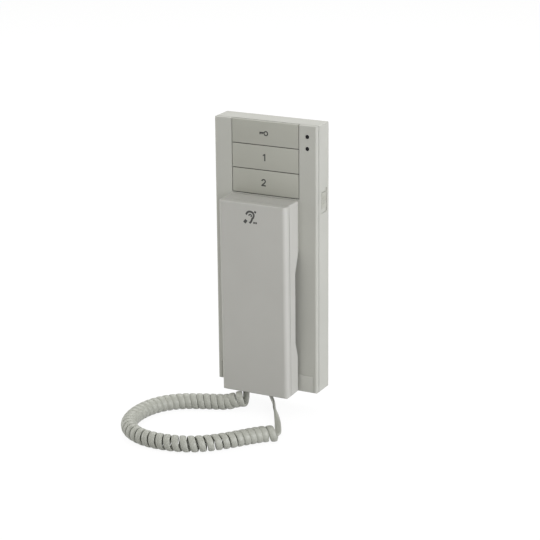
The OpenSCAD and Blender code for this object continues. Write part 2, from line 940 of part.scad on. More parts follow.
module handset_rear() {
  color(shell_grey)
    difference() {
      union() {
        rear_shell();
        rear_lip();
        intersection() {
          handset_form(hs_wall / 2);
          union() {
            bar(dish_r + hs_wall, dish_floor - hs_wall, ear_y, 0, ear_z);
            speaker_ring();
            for (z = hs_screw_z)
              bar(hs_boss_r, hs_boss_y, grip_y, 0, z);
          }
        }
      }
      bar(dish_r, dish_floor, front_y, 0, ear_z);
      ear_holes();
      mic_holes();
      for (z = hs_screw_z) {
        bar(shank_r + slip_fit, hs_boss_y - 1, front_y, 0, z);
        bar(head_r + free_gap, grip_y - sink_t, front_y, 0, z);
      }
      plug_cut();
    }
}
module rear_shell() {
  intersection() {
    difference() {
      handset_form();
      handset_form(hs_wall);
    }
    handset_slice(hs_split + hs_groove, block_d);
  }
}
module rear_lip() {
  intersection() {
    difference() {
      handset_form(hs_wall - bite);
      handset_form(hs_wall + lip_t);
    }
    handset_slice(hs_split + hs_groove, hs_split + hs_groove + lip_reach);
  }
  intersection() {
    difference() {
      handset_form(hs_wall + slip_fit);
      handset_form(hs_wall + lip_t);
    }
    handset_slice(hs_split - lip_reach, hs_split + hs_groove + bite);
  }
}
module speaker_ring() {
  difference() {
    bar(speaker_r + free_gap + speaker_ring_t, speaker_y - speaker_rim_t, dish_floor, 0, ear_z);
    bar(speaker_r + free_gap, speaker_y - speaker_t, dish_floor - hs_wall, 0, ear_z);
  }
}
module ear_holes() {
  bar(ear_hole_r, dish_floor - hs_wall - 1, front_y, 0, ear_z);
  for (a = [0:60:300])
    bar(ear_hole_r, dish_floor - hs_wall - 1, front_y, ear_ring_r * cos(a), ear_z + ear_ring_r * sin(a));
}
module mic_holes() {
  for (i = [-1:1])
    bar(mic_hole_r, mic_wall - boot_t - 1, front_y, mic_x + i * mic_hole_pitch, mic_z);
}

module ear_speaker() {
  color(dark) {
    bar(speaker_r, speaker_y - speaker_rim_t, speaker_y, 0, ear_z);
    bar(magnet_r, speaker_y - speaker_t, speaker_y, 0, ear_z);
  }
}
module ear_gasket() {
  color("dimgray")
    difference() {
      bar(speaker_r, speaker_y, speaker_y + gasket_t, 0, ear_z);
      bar(speaker_r - gasket_w, speaker_y - 1, speaker_y + gasket_t + 1, 0, ear_z);
    }
}
module hearing_coil() {
  color(brass)
    difference() {
      bar(speaker_r - coil_rim, speaker_y - speaker_rim_t - coil_t, speaker_y - speaker_rim_t, 0, ear_z);
      bar(magnet_r + free_gap, speaker_y - speaker_rim_t - coil_t - 1, speaker_y, 0, ear_z);
    }
}
module mic_capsule() {
  color(steel)
    bar(mic_r, mic_wall - boot_t - mic_t, mic_wall - boot_t, mic_x, mic_z);
}
module mic_boot() {
  color("dimgray")
    difference() {
      bar(mic_r + boot_t, mic_wall - boot_t - mic_t, mic_wall, mic_x, mic_z);
      bar(mic_r + screw_fit, mic_wall - boot_t - mic_t - 1, mic_wall - boot_t, mic_x, mic_z);
      mic_holes();
    }
}
module handset_weight() {
  color(steel)
    slab([-weight_w / 2, grip_y - hs_wall - weight_t, hs_screw_z[0] + hs_boss_r + weight_gap],
         [weight_w / 2, grip_y - hs_wall, hs_screw_z[1] - hs_boss_r - weight_gap]);
}
module handset_socket() {
  color(dark)
    translate([hs_plug_at.x, hs_plug_at.y, hs_z + hs_wall + lip_t + free_gap])
      socket(plug_w, plug_d, plug_l - hs_wall - lip_t);
}
module handset_plug() {
  color("gainsboro")
    translate([hs_plug_at.x - plug_w / 2, hs_plug_at.y - plug_d / 2, hs_z + hs_plug_in])
      cube([plug_w, plug_d, plug_l - hs_plug_in]);
}
module handset_screws() {
  color(steel)
    for (z = hs_screw_z)
      mirror([0, 1, 0])
        translate([0, 0, z])
          screw(-(grip_y - sink_t), hs_screw_l);
}

// Cord
function unit(v) = v / norm(v);
function smooth(t) = let (c = min(max(t, 0), 1)) c * c * (3 - 2 * c);
function bend(a, b, c, d, t) =
  0.5 * (2 * b + (c - a) * t + (2 * a - 5 * b + 4 * c - d) * t * t + (3 * b - a - 3 * c + d) * t * t * t);
// Smooth line through the points of a route
function curve(p, steps) = let (n = len(p)) concat(
  [for (i = [0:n - 2], j = [0:steps - 1])
    bend(i > 0 ? p[i - 1] : 2 * p[0] - p[1], p[i], p[i + 1],
         i + 2 < n ? p[i + 2] : 2 * p[n - 1] - p[n - 2], j / steps)],
  [p[n - 1]]);
// Length run at each point of a line
function step_l(p, i) = i + 1 < len(p) ? norm(p[i + 1] - p[i]) : 0;
function runs(p) = [for (i = 0, s = 0; i < len(p); s = s + step_l(p, i), i = i + 1) s];
curl_line = curve(curl_route, curl_steps);
curl_runs = runs(curl_line);
curl_l = curl_runs[len(curl_runs) - 1];
curl_table = [for (k = [0:2]) [for (i = [0:len(curl_line) - 1]) [curl_runs[i], curl_line[i][k]]]];
function axis_at(s) = [for (k = [0:2]) lookup(s, curl_table[k])];
function axis_dir(s) = unit(axis_at(min(s + 1, curl_l)) - axis_at(max(s - 1, 0)));
function side_dir(s) = unit(cross(axis_dir(s), [0, 0, 1]));
function up_dir(s) = cross(side_dir(s), axis_dir(s));
// Share of the curls that lies within a share of the middle line, and the other way round
function crowd(u) = u + crowd_far * sin(360 * u * u) + crowd_near * sin(180 * u)
  + spread_last * min((1 - u) / spread_reach, 1) * u;
crowd_table = [for (i = [0:200]) [crowd(i / 200), i / 200]];
function uncrowd(v) = lookup(v, crowd_table);
function turn(s) = 270 + 360 * turns * (1 - crowd(s / curl_l));
function out_dir(s) = cos(turn(s)) * side_dir(s) + sin(turn(s)) * up_dir(s);
function curl_at(s) = axis_at(s) + curl_r * out_dir(s);
ring_count = round(turns * rings_per_curl);
curl_stations = [for (i = [0:ring_count]) curl_l * uncrowd(i / ring_count)];
plug_exit = [hs_plug_at.x, hs_plug_at.y, hs_z + hs_plug_in];
curl_drop = [for (t = [0, 0.4, 0.8]) (1 - t) * plug_exit + t * curl_at(0)];
curl_tail = unit(curl_at(curl_l) - curl_at(curl_l - 0.2));
tail_flat = unit([curl_tail.x, curl_tail.y, 0]);
curl_end = curl_at(curl_l) + tail_flat * band_w;
curl_path = concat(curl_drop, [for (s = curl_stations) curl_at(s)], [curl_end]);
curl_out = concat([for (d = curl_drop) out_dir(0)], [for (s = curl_stations) out_dir(s)], [[0, 0, -1]]);
lead_path = concat([curl_end, curl_end + tail_flat * band_w], curve(lead_route, lead_steps));

// Rings of a flat tube along a path, each with its thickness direction
flat_section = [[1, 0], [0.62, 1], [-0.62, 1], [-1, 0], [-0.62, -1], [0.62, -1]];
function tangent(p, i, ends) =
  i == 0 ? ends[0] : i == len(p) - 1 ? ends[1] : unit(p[i + 1] - p[i - 1]);
function ring(c, t, out) =
  let (thick = unit(out - (out * t) * t), wide = cross(thick, t))
  [for (k = flat_section) c + wide * k[0] * band_w / 2 + thick * k[1] * band_t / 2];
function rings_of(path, outs, ends) =
  [for (i = [0:len(path) - 1]) ring(path[i], tangent(path, i, ends), outs[i])];
module flat_tube(path, outs, ends) {
  n = len(flat_section);
  m = len(path);
  rings = rings_of(path, outs, ends);
  points = [for (r = rings, p = r) p];
  sides = [for (i = [0:m - 2], j = [0:n - 1])
    let (a = i * n + j, b = i * n + (j + 1) % n)
    each [[a, a + n, b + n], [a, b + n, b]]];
  caps = [for (j = [1:n - 2]) each [[0, j, j + 1], [(m - 1) * n, (m - 1) * n + j + 1, (m - 1) * n + j]]];
  polyhedron(points, concat(sides, caps));
}
curl_ends = [[0, 0, -1], tail_flat];
module curly_cord() {
  color(cord_grey)
    flat_tube(curl_path, curl_out, curl_ends);
}
// The lead lies flat on the table and turns on edge on its way to its socket
lead_edge = [-0.9, -0.44, 0];
twist_start = 0.1;
twist_run = 0.65;
lead_outs = [for (i = [0:len(lead_path) - 1])
  let (u = smooth((i / (len(lead_path) - 1) - twist_start) / twist_run))
    (1 - u) * [0, 0, -1] + u * lead_edge];
module cord_lead() {
  color(cord_grey)
    flat_tube(lead_path, lead_outs, [tail_flat, [0, 0, 1]]);
}

// Least gap of the curls to each other, measured between the rings of turns that lie side by side
curl_rings = rings_of(curl_path, curl_out, curl_ends);
side_gaps = [for (i = [0:len(curl_path) - rings_per_curl - 3], j = [i + 6:i + rings_per_curl + 2],
  p = curl_rings[i], q = curl_rings[j]) norm(p - q)];
echo(least_curl_gap = min(side_gaps), cord_length = runs(curl_path)[len(curl_path) - 1]);

wall_plate();
rear_housing();
front_cover();
lower_cover();
key_frame();
main_board();
door_switch();
call_switch_1();
call_switch_2();
light_pipe_upper();
light_pipe_lower();
status_leds();
hook_switch();
ringer();
terminal_block();
terminal_screws();
volume_switch();
base_socket();
board_screws();
cover_screws();
base_plug();
cord_lead();
curly_cord();
door_key();
call_key_1();
call_key_2();
door_plunger();
call_plunger_1();
call_plunger_2();
hook_plunger();
volume_slider();
handset_front();
handset_rear();
ear_speaker();
ear_gasket();
hearing_coil();
mic_capsule();
mic_boot();
handset_weight();
handset_socket();
handset_plug();
handset_screws();
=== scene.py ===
"""Looks of a wall audio station with a corded handset.

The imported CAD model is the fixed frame, in metres: the wall is at Y 0, the front faces -Y and
+Z is up. Each class is a finish, a sub-assembly or a part of the studio.
"""

import json
import logging
import math
from collections.abc import Callable, Iterator, Sequence
from contextlib import contextmanager
from dataclasses import dataclass
from enum import Enum

import bmesh
import bpy
import numpy as np
from mathutils import Matrix, Vector

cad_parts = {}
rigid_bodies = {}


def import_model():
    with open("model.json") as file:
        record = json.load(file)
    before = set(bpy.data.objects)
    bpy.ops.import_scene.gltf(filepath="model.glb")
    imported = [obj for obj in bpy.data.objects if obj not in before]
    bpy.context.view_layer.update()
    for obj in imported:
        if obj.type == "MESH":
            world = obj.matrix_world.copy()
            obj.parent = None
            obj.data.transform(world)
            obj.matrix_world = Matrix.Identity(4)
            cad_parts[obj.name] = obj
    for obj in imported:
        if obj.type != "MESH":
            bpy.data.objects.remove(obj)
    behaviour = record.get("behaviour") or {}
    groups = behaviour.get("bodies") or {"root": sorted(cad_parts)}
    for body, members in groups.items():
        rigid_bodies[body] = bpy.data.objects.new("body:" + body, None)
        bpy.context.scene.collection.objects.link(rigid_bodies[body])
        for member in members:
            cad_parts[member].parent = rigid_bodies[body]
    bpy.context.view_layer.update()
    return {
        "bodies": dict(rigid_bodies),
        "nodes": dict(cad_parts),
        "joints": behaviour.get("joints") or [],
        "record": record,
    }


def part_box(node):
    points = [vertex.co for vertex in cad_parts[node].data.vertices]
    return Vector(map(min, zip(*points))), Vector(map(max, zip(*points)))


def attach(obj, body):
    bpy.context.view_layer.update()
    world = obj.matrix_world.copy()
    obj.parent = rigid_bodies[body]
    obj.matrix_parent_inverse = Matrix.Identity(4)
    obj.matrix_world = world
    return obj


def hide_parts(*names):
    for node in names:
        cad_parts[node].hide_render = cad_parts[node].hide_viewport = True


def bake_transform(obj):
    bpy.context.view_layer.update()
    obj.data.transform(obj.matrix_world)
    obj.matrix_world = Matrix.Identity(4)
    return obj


LOG = logging.getLogger("audio_station")
MM = 0.001
# Part of a normal along an axis from which a face counts as facing that way
FACING = 0.9

Point = tuple[float, float, float]
Colour = tuple[float, float, float]
Node = bpy.types.Node
Socket = bpy.types.NodeSocket
Piece = bpy.types.Object

WHITE: Colour = (1.0, 1.0, 1.0)
BLACK: Colour = (0.0, 0.0, 0.0)
DOWN: Point = (0.0, 0.0, -1.0)
UP: Point = (0.0, 0.0, 1.0)


class Body(str, Enum):
    """Moving bodies of the frame."""

    STATION = "station"
    DOOR_KEY = "door_key"
    CALL_KEY_1 = "call_key_1"
    CALL_KEY_2 = "call_key_2"
    VOLUME_SLIDER = "volume_slider"
    HANDSET = "handset"


class Slot(str, Enum):
    """Material slots of the record."""

    SHELL = "shell"
    KEY = "key"
    CORD = "cord"
    STEEL = "steel"
    BOARD = "board"
    LIGHT_PIPE = "light_pipe"
    PLUG = "plug"
    SEAL = "seal"
    WINDING = "winding"
    LED = "led"
    TERMINAL = "terminal"
    DARK_PLASTIC = "dark_plastic"


class Effect(str, Enum):
    """Surface effects that several finishes share, each a node group."""

    MOULDED_GRAIN = "moulded_grain"
    DRAWN_LINES = "drawn_lines"
    # painted shade: darkens upward faces inside the key gaps, where their shadow falls
    LEDGE_PAINTED_SHADE = "ledge_dust"


# Node trees


class NodeDesk:
    """Places and joins the nodes of one node tree."""

    MIX_SHARE, MIX_FIRST, MIX_SECOND, MIX_RESULT = 0, 6, 7, 2

    def __init__(self, tree: bpy.types.NodeTree) -> None:
        """Keeps the tree to work on."""
        self.tree = tree

    def join(self, value: object, socket: Socket) -> None:
        """Links an output to a socket, or sets the socket to a plain value.

        Args:
            value: An output socket, a number, a vector or a colour.
            socket: The input that takes it.
        """
        if isinstance(value, Socket):
            self.tree.links.new(value, socket)
        elif socket.type == "RGBA":
            socket.default_value = (*value, 1.0)
        else:
            socket.default_value = value

    def add(self, kind: str, **inputs: object) -> Node:
        """Adds a node and fills its inputs.

        Args:
            kind: The node's class without its ShaderNode prefix.
            inputs: Values or output sockets by input name, with underscores for spaces.

        Returns:
            The new node.
        """
        node = self.tree.nodes.new(f"ShaderNode{kind}")
        for name, value in inputs.items():
            self.join(value, node.inputs[name.replace("_", " ")])
        return node

    def effect(self, effect: Effect, **inputs: object) -> Node:
        """Places a shared effect.

        Args:
            effect: The effect's node group.
            inputs: Values or output sockets by input name.

        Returns:
            The group node.
        """
        node = self.tree.nodes.new("ShaderNodeGroup")
        node.node_tree = bpy.data.node_groups[effect.value]
        for name, value in inputs.items():
            self.join(value, node.inputs[name])
        return node

    def mix(self, share: object, first: object, second: object) -> Socket:
        """Mixes two colours.

        Args:
            share: Share of the second colour.
            first: Colour at share 0.
            second: Colour at share 1.

        Returns:
            The mixed colour.
        """
        node = self.tree.nodes.new("ShaderNodeMix")
        node.data_type = "RGBA"
        self.join(share, node.inputs[self.MIX_SHARE])
        self.join(first, node.inputs[self.MIX_FIRST])
        self.join(second, node.inputs[self.MIX_SECOND])
        return node.outputs[self.MIX_RESULT]

    def mix_shaders(self, share: Socket, first: Node, second: Node) -> Node:
        """Mixes two shaders.

        Args:
            share: Share of the second shader.
            first: Shader at share 0.
            second: Shader at share 1.

        Returns:
            The mixing node.
        """
        node = self.add("MixShader", Fac=share)
        for place, shader in enumerate((first, second), start=1):
            self.join(shader.outputs[0], node.inputs[place])
        return node

    def spread(self, value: object, low: float, high: float, start: float = 0.0,
               stop: float = 1.0) -> Socket:
        """Maps a value from one range to another.

        Args:
            value: The value to map.
            low: Result at the start.
            high: Result at the stop.
            start: Where the value's range starts.
            stop: Where it stops.

        Returns:
            The mapped value, held within the two results.
        """
        node = self.add("MapRange", Value=value, From_Min=start, From_Max=stop, To_Min=low, To_Max=high)
        return node.outputs["Result"]

    def math(self, operation: str, first: object, second: object = 0.0) -> Socket:
        """Joins two values by an arithmetic step.

        Args:
            operation: Blender's name of the step.
            first: The first value.
            second: The second value.

        Returns:
            The result.
        """
        node = self.tree.nodes.new("ShaderNodeMath")
        node.operation = operation
        self.join(first, node.inputs[0])
        self.join(second, node.inputs[1])
        return node.outputs[0]


@dataclass(frozen=True)
class EffectShelf:
    """Builds the node groups of the shared effects."""

    pit_share: float = 0.35
    patch_band: tuple[float, float] = (0.3, 0.7)
    line_band: tuple[float, float] = (0.25, 0.75)
    upward: float = 0.5

    def build(self) -> None:
        """Builds every group once."""
        self._moulded_grain()
        self._drawn_lines()
        self._ledge_painted_shade()

    @staticmethod
    def _open(effect: Effect, numbers: Sequence[str], results: Sequence[str]
              ) -> tuple[NodeDesk, Node, Node]:
        """Opens a group that reads a place and some numbers.

        Args:
            effect: The group's name.
            numbers: Names of its number inputs.
            results: Names of its value outputs.

        Returns:
            The desk, the group's input node and its output node.
        """
        tree = bpy.data.node_groups.new(effect.value, "ShaderNodeTree")
        tree.interface.new_socket(name="Place", in_out="INPUT", socket_type="NodeSocketVector")
        for name in numbers:
            tree.interface.new_socket(name=name, in_out="INPUT", socket_type="NodeSocketFloat")
        for name in results:
            tree.interface.new_socket(name=name, in_out="OUTPUT", socket_type="NodeSocketFloat")
        return NodeDesk(tree), tree.nodes.new("NodeGroupInput"), tree.nodes.new("NodeGroupOutput")

    def _moulded_grain(self) -> None:
        """Fine spark-eroded grain, and broad patches where the melt set slower."""
        desk, entry, out = self._open(Effect.MOULDED_GRAIN, ("Grains", "Patches"), ("Height", "Patch"))
        place = entry.outputs["Place"]
        fine = desk.add("TexNoise", Vector=place, Scale=entry.outputs["Grains"], Detail=2.0, Roughness=0.55)
        pits = desk.add("TexVoronoi", Vector=place, Scale=entry.outputs["Grains"])
        height = desk.math("MULTIPLY_ADD", pits.outputs["Distance"], self.pit_share)
        desk.join(fine.outputs["Fac"], height.node.inputs[2])
        broad = desk.add("TexNoise", Vector=place, Scale=entry.outputs["Patches"], Detail=3.0, Roughness=0.5)
        desk.join(height, out.inputs["Height"])
        desk.join(desk.spread(broad.outputs["Fac"], 0.0, 1.0, *self.patch_band), out.inputs["Patch"])

    def _drawn_lines(self) -> None:
        """Faint lines along the first axis of a place, as drawing or extruding leaves them."""
        desk, entry, out = self._open(Effect.DRAWN_LINES, ("Lines", "Stretch"), ("Line",))
        apart = desk.add("SeparateXYZ", Vector=entry.outputs["Place"])
        along = desk.math("DIVIDE", apart.outputs["X"], entry.outputs["Stretch"])
        squeezed = desk.add("CombineXYZ", X=along, Y=apart.outputs["Y"], Z=apart.outputs["Z"])
        lines = desk.add("TexNoise", Vector=squeezed.outputs["Vector"], Scale=entry.outputs["Lines"],
                         Detail=2.0, Roughness=0.6)
        desk.join(desk.spread(lines.outputs["Fac"], 0.0, 1.0, *self.line_band), out.inputs["Line"])

    def _ledge_painted_shade(self) -> None:
        """Painted shade on what faces up between two depths and two heights, where the gaps' shadow falls.
        """
        limits = (("Y", "Front", "Back"), ("Z", "Low", "High"))
        desk, entry, out = self._open(Effect.LEDGE_PAINTED_SHADE, ("Facing", "Front", "Back", "Low", "High"),
                                      ("PaintedShade",))
        apart = desk.add("SeparateXYZ", Vector=entry.outputs["Place"])
        # mask of the painted shade: upward faces within the gap's depths and heights
        painted_gap_shade = desk.math("GREATER_THAN", entry.outputs["Facing"], self.upward)
        for axis, near, far in limits:
            for test, limit in (("GREATER_THAN", near), ("LESS_THAN", far)):
                within = desk.math(test, apart.outputs[axis], entry.outputs[limit])
                painted_gap_shade = desk.math("MULTIPLY", painted_gap_shade, within)
        desk.join(painted_gap_shade, out.inputs["PaintedShade"])


# Finishes


@dataclass(frozen=True)
class Finish:
    """A material: its colour, roughness, their spread over a mask, and the relief."""

    name: str
    colour: Colour
    roughness: float
    tones: tuple[float, float] = (1.0, 1.0)
    gloss: tuple[float, float] = (0.0, 0.0)
    depth: float = 0.05 * MM
    strength: float = 0.5

    def make(self) -> bpy.types.Material:
        """Builds the material.

        Returns:
            The new material.
        """
        material = bpy.data.materials.new(self.name)
        material.use_nodes = True
        material.diffuse_color = (*self.colour, 1.0)
        desk = NodeDesk(material.node_tree)
        self.lay(desk, material.node_tree.nodes["Principled BSDF"])
        return material

    def lay(self, desk: NodeDesk, shader: Node) -> None:
        """Lays the nodes that feed the shader."""
        raise NotImplementedError

    def shade(self, factor: float) -> Colour:
        """Gives the main colour, darker or lighter by a factor."""
        return tuple(min(1.0, c * factor) for c in self.colour)

    @staticmethod
    def place(desk: NodeDesk) -> Socket:
        """Gives the place on the part, in metres."""
        return desk.add("TexCoord").outputs["Object"]

    def toned(self, desk: NodeDesk, mask: Socket) -> Socket:
        """Gives the colour between its two tones by a mask."""
        return desk.mix(mask, self.shade(self.tones[0]), self.shade(self.tones[1]))

    def feed(self, desk: NodeDesk, shader: Node, colour: Socket, mask: Socket, height: Socket) -> None:
        """Feeds colour, gloss and relief to the shader.

        Args:
            desk: The material's nodes.
            shader: Its Principled BSDF.
            colour: The colour.
            mask: What the gloss follows, from 0 to 1.
            height: The relief's height, where 1 stands for the depth.
        """
        first, last = (self.roughness + change for change in self.gloss)
        desk.join(colour, shader.inputs["Base Color"])
        desk.join(desk.spread(mask, first, last), shader.inputs["Roughness"])
        bump = desk.add("Bump", Strength=self.strength, Distance=self.depth, Height=height)
        desk.join(bump.outputs["Normal"], shader.inputs["Normal"])


@dataclass(frozen=True)
class MouldedPlastic(Finish):
    """Injection-moulded plastic with a fine eroded grain."""

    tones: tuple[float, float] = (0.982, 1.018)
    gloss: tuple[float, float] = (0.05, -0.05)
    depth: float = 0.06 * MM
    grains: float = 1800.0
    patches: float = 26.0

    def lay(self, desk: NodeDesk, shader: Node) -> None:
        """Lays grain, broad tone and gloss.

        Args:
            desk: The material's nodes.
            shader: Its Principled BSDF.
        """
        place = self.place(desk)
        grain = desk.effect(Effect.MOULDED_GRAIN, Place=place, Grains=self.grains, Patches=self.patches)
        patch = grain.outputs["Patch"]
        colour = self.paint_shade(desk, place, self.toned(desk, patch))
        self.feed(desk, shader, colour, patch, grain.outputs["Height"])

    def paint_shade(self, desk: NodeDesk, place: Socket, colour: Socket) -> Socket:
        """Paints no shade and leaves the colour as it is."""
        return colour


@dataclass(frozen=True)
class GapShadeMoulding(MouldedPlastic):
    """Moulded plastic with painted shade on the ledges inside the gaps between the keys, where their shadow
    falls.
    """

    deep: tuple[float, float] = (-20.75 * MM, -17.0 * MM)
    high: tuple[float, float] = (40.0 * MM, 105.0 * MM)
    # share of the colour kept where shade is painted on the gap ledges
    painted_gap_shade: float = 0.2

    def paint_shade(self, desk: NodeDesk, place: Socket, colour: Socket) -> Socket:
        """Paints shade on what faces up just behind the keys' front.

        Args:
            desk: The material's nodes.
            place: The place on the part.
            colour: The colour before the painted shade.

        Returns:
            The colour with painted shade in the gaps.
        """
        normal = desk.add("SeparateXYZ", Vector=desk.add("NewGeometry").outputs["True Normal"])
        ledge = desk.effect(Effect.LEDGE_PAINTED_SHADE, Place=place, Facing=normal.outputs["Z"], Front=self.deep[0],
                            Back=self.deep[1], Low=self.high[0], High=self.high[1])
        # painted shade: the colour darkened on the ledges inside the key gaps
        return desk.mix(ledge.outputs["PaintedShade"], colour, self.shade(self.painted_gap_shade))


@dataclass(frozen=True)
class CordJacket(Finish):
    """Soft extruded jacket, with faint lines along the cord and a rib over each wire."""

    tones: tuple[float, float] = (0.96, 1.04)
    gloss: tuple[float, float] = (0.06, -0.06)
    depth: float = 0.10 * MM
    strength: float = 0.35
    lines: float = 60.0
    stretch: float = 4.0
    wires: int = 2
    rib_share: float = 0.4

    def lay(self, desk: NodeDesk, shader: Node) -> None:
        """Lays lines and ribs on the cord's own map: along it in metres, and once round it.

        Args:
            desk: The material's nodes.
            shader: Its Principled BSDF.
        """
        flat = desk.add("TexCoord").outputs["UV"]
        drawn = desk.effect(Effect.DRAWN_LINES, Place=flat, Lines=self.lines, Stretch=self.stretch)
        line = drawn.outputs["Line"]
        round_it = desk.add("SeparateXYZ", Vector=flat).outputs["Y"]
        wave = desk.math("COSINE", desk.math("MULTIPLY", round_it, 2 * math.tau * self.wires))
        ribs = desk.math("MULTIPLY_ADD", wave, self.rib_share)
        desk.join(line, ribs.node.inputs[2])
        self.feed(desk, shader, self.toned(desk, line), line, ribs)


@dataclass(frozen=True)
class PlatedSteel(Finish):
    """Zinc-plated steel with drawn lines and a patchy plating."""

    tones: tuple[float, float] = (0.94, 1.04)
    gloss: tuple[float, float] = (-0.08, 0.12)
    depth: float = 0.02 * MM
    strength: float = 0.4
    lines: float = 900.0
    stretch: float = 14.0
    grains: float = 600.0
    patches: float = 160.0
    line_share: float = 0.3
    line_tone: float = 0.78

    def lay(self, desk: NodeDesk, shader: Node) -> None:
        """Lays plating and lines.

        Args:
            desk: The material's nodes.
            shader: Its Principled BSDF.
        """
        place = self.place(desk)
        drawn = desk.effect(Effect.DRAWN_LINES, Place=place, Lines=self.lines, Stretch=self.stretch)
        plating = desk.effect(Effect.MOULDED_GRAIN, Place=place, Grains=self.grains, Patches=self.patches)
        line = drawn.outputs["Line"]
        shader.inputs["Metallic"].default_value = 1.0
        colour = desk.mix(desk.math("MULTIPLY", line, self.line_share),
                          self.toned(desk, plating.outputs["Patch"]), self.shade(self.line_tone))
        self.feed(desk, shader, colour, line, line)


@dataclass(frozen=True)
class SolderMask(Finish):
    """Board lacquer with copper tracks showing through."""

    gloss: tuple[float, float] = (0.0, -0.1)
    strength: float = 0.6
    tracks: float = 260.0
    track_width: float = 0.06
    track_colour: Colour = (0.16, 0.30, 0.12)

    def lay(self, desk: NodeDesk, shader: Node) -> None:
        """Lays tracks and lacquer.

        Args:
            desk: The material's nodes.
            shader: Its Principled BSDF.
        """
        turned = desk.add("Mapping", Vector=self.place(desk), Rotation=(math.pi / 2, 0.0, 0.0))
        grid = desk.add("TexBrick", Vector=turned.outputs["Vector"], Scale=self.tracks,
                        Mortar_Size=self.track_width, Color1=BLACK, Color2=BLACK, Mortar=WHITE)
        track = grid.outputs["Color"]
        self.feed(desk, shader, desk.mix(track, self.colour, self.track_colour), track, track)


@dataclass(frozen=True)
class ClearMoulding(Finish):
    """Clear or smoked plastic, moulded to a gloss."""

    tones: tuple[float, float] = (0.92, 1.06)
    gloss: tuple[float, float] = (0.0, 0.06)
    depth: float = 0.03 * MM
    strength: float = 0.2
    grains: float = 500.0
    patches: float = 160.0
    clear: float = 0.0
    mirror: float = 0.5

    def lay(self, desk: NodeDesk, shader: Node) -> None:
        """Lays faint flow marks in a glossy body.

        Args:
            desk: The material's nodes.
            shader: Its Principled BSDF.
        """
        flow = desk.effect(Effect.MOULDED_GRAIN, Place=self.place(desk), Grains=self.grains,
                           Patches=self.patches)
        patch = flow.outputs["Patch"]
        shader.inputs["Transmission Weight"].default_value = self.clear
        shader.inputs["Specular IOR Level"].default_value = self.mirror
        self.feed(desk, shader, self.toned(desk, patch), patch, patch)


@dataclass(frozen=True)
class CellFoam(Finish):
    """Soft closed-cell foam."""

    tones: tuple[float, float] = (0.6, 1.25)
    gloss: tuple[float, float] = (-0.05, 0.05)
    depth: float = 0.2 * MM
    strength: float = 0.8
    cells: float = 1500.0

    def lay(self, desk: NodeDesk, shader: Node) -> None:
        """Lays open cells."""
        cell = desk.add("TexVoronoi", Vector=self.place(desk), Scale=self.cells).outputs["Distance"]
        self.feed(desk, shader, self.toned(desk, cell), cell, cell)


@dataclass(frozen=True)
class WireWinding(Finish):
    """Enamelled wire wound in rings round an axis along Y."""

    tones: tuple[float, float] = (0.5, 1.0)
    gloss: tuple[float, float] = (0.15, 0.0)
    depth: float = 0.1 * MM
    strength: float = 0.8
    metal: float = 0.9
    centre: Point = (0.0, 0.0, 0.0)
    turns: float = 900.0

    def lay(self, desk: NodeDesk, shader: Node) -> None:
        """Lays the rings of the winding.

        Args:
            desk: The material's nodes.
            shader: Its Principled BSDF.
        """
        centred = desk.add("Mapping", Vector=self.place(desk), Location=tuple(-c for c in self.centre))
        rings = desk.add("TexWave", Vector=centred.outputs["Vector"], Scale=self.turns)
        rings.wave_type = "RINGS"
        rings.rings_direction = "Y"
        ring = rings.outputs["Fac"]
        shader.inputs["Metallic"].default_value = self.metal
        self.feed(desk, shader, self.toned(desk, ring), ring, ring)


class FinishBook:
    """Every finish of the station by record slot, its handset's shell and its printing ink."""

    def __init__(self, ear_centre: Point) -> None:
        """Builds the effects and then the finishes.

        Args:
            ear_centre: Middle of the winding behind the ear speaker.
        """
        EffectShelf().build()
        finishes = {
            # shell and keys carry painted shade on the ledges inside the key gaps
            Slot.SHELL: GapShadeMoulding("grey_shell", (0.487, 0.487, 0.443), 0.50),
            Slot.KEY: GapShadeMoulding("grey_key", (0.418, 0.418, 0.366), 0.48, grains=2200.0, patches=48.0),
            Slot.CORD: CordJacket("grey_cord", (0.400, 0.406, 0.356), 0.42),
            Slot.STEEL: PlatedSteel("zinc_steel", (0.52, 0.53, 0.54), 0.36),
            Slot.BOARD: SolderMask("green_board", (0.025, 0.09, 0.045), 0.42),
            Slot.LIGHT_PIPE: ClearMoulding("smoked_lens", (0.005, 0.005, 0.006), 0.16, mirror=0.2),
            Slot.PLUG: ClearMoulding("clear_plug", (0.78, 0.79, 0.80), 0.12, clear=0.55),
            Slot.SEAL: CellFoam("dark_foam", (0.035, 0.035, 0.035), 0.85),
            Slot.WINDING: WireWinding("copper_winding", (0.60, 0.27, 0.12), 0.30, centre=ear_centre),
            Slot.LED: ClearMoulding("light_chip", (0.82, 0.80, 0.62), 0.25),
            Slot.TERMINAL: MouldedPlastic("green_terminal", (0.065, 0.17, 0.09), 0.45),
            Slot.DARK_PLASTIC: MouldedPlastic("dark_moulding", (0.020, 0.020, 0.022), 0.45,
                                              tones=(0.88, 1.12)),
        }
        self.by_slot = {slot: finish.make() for slot, finish in finishes.items()}
        self.handset = MouldedPlastic("grey_handset", (0.500, 0.495, 0.462), 0.50).make()
        self.ink = MouldedPlastic("grey_ink", (0.050, 0.050, 0.046), 0.55, tones=(0.85, 1.15),
                                  grains=3500.0).make()


# Modelling steps


def add_object(name: str, data: bpy.types.ID) -> Piece:
    """Adds an object to the scene.

    Args:
        name: Its name.
        data: Its mesh, camera or lamp.

    Returns:
        The object.
    """
    thing = bpy.data.objects.new(name, data)
    bpy.context.scene.collection.objects.link(thing)
    return thing


def make_active(piece: Piece) -> None:
    """Selects one object alone and makes it active.

    Args:
        piece: The object.
    """
    bpy.ops.object.select_all(action="DESELECT")
    piece.select_set(True)
    bpy.context.view_layer.objects.active = piece


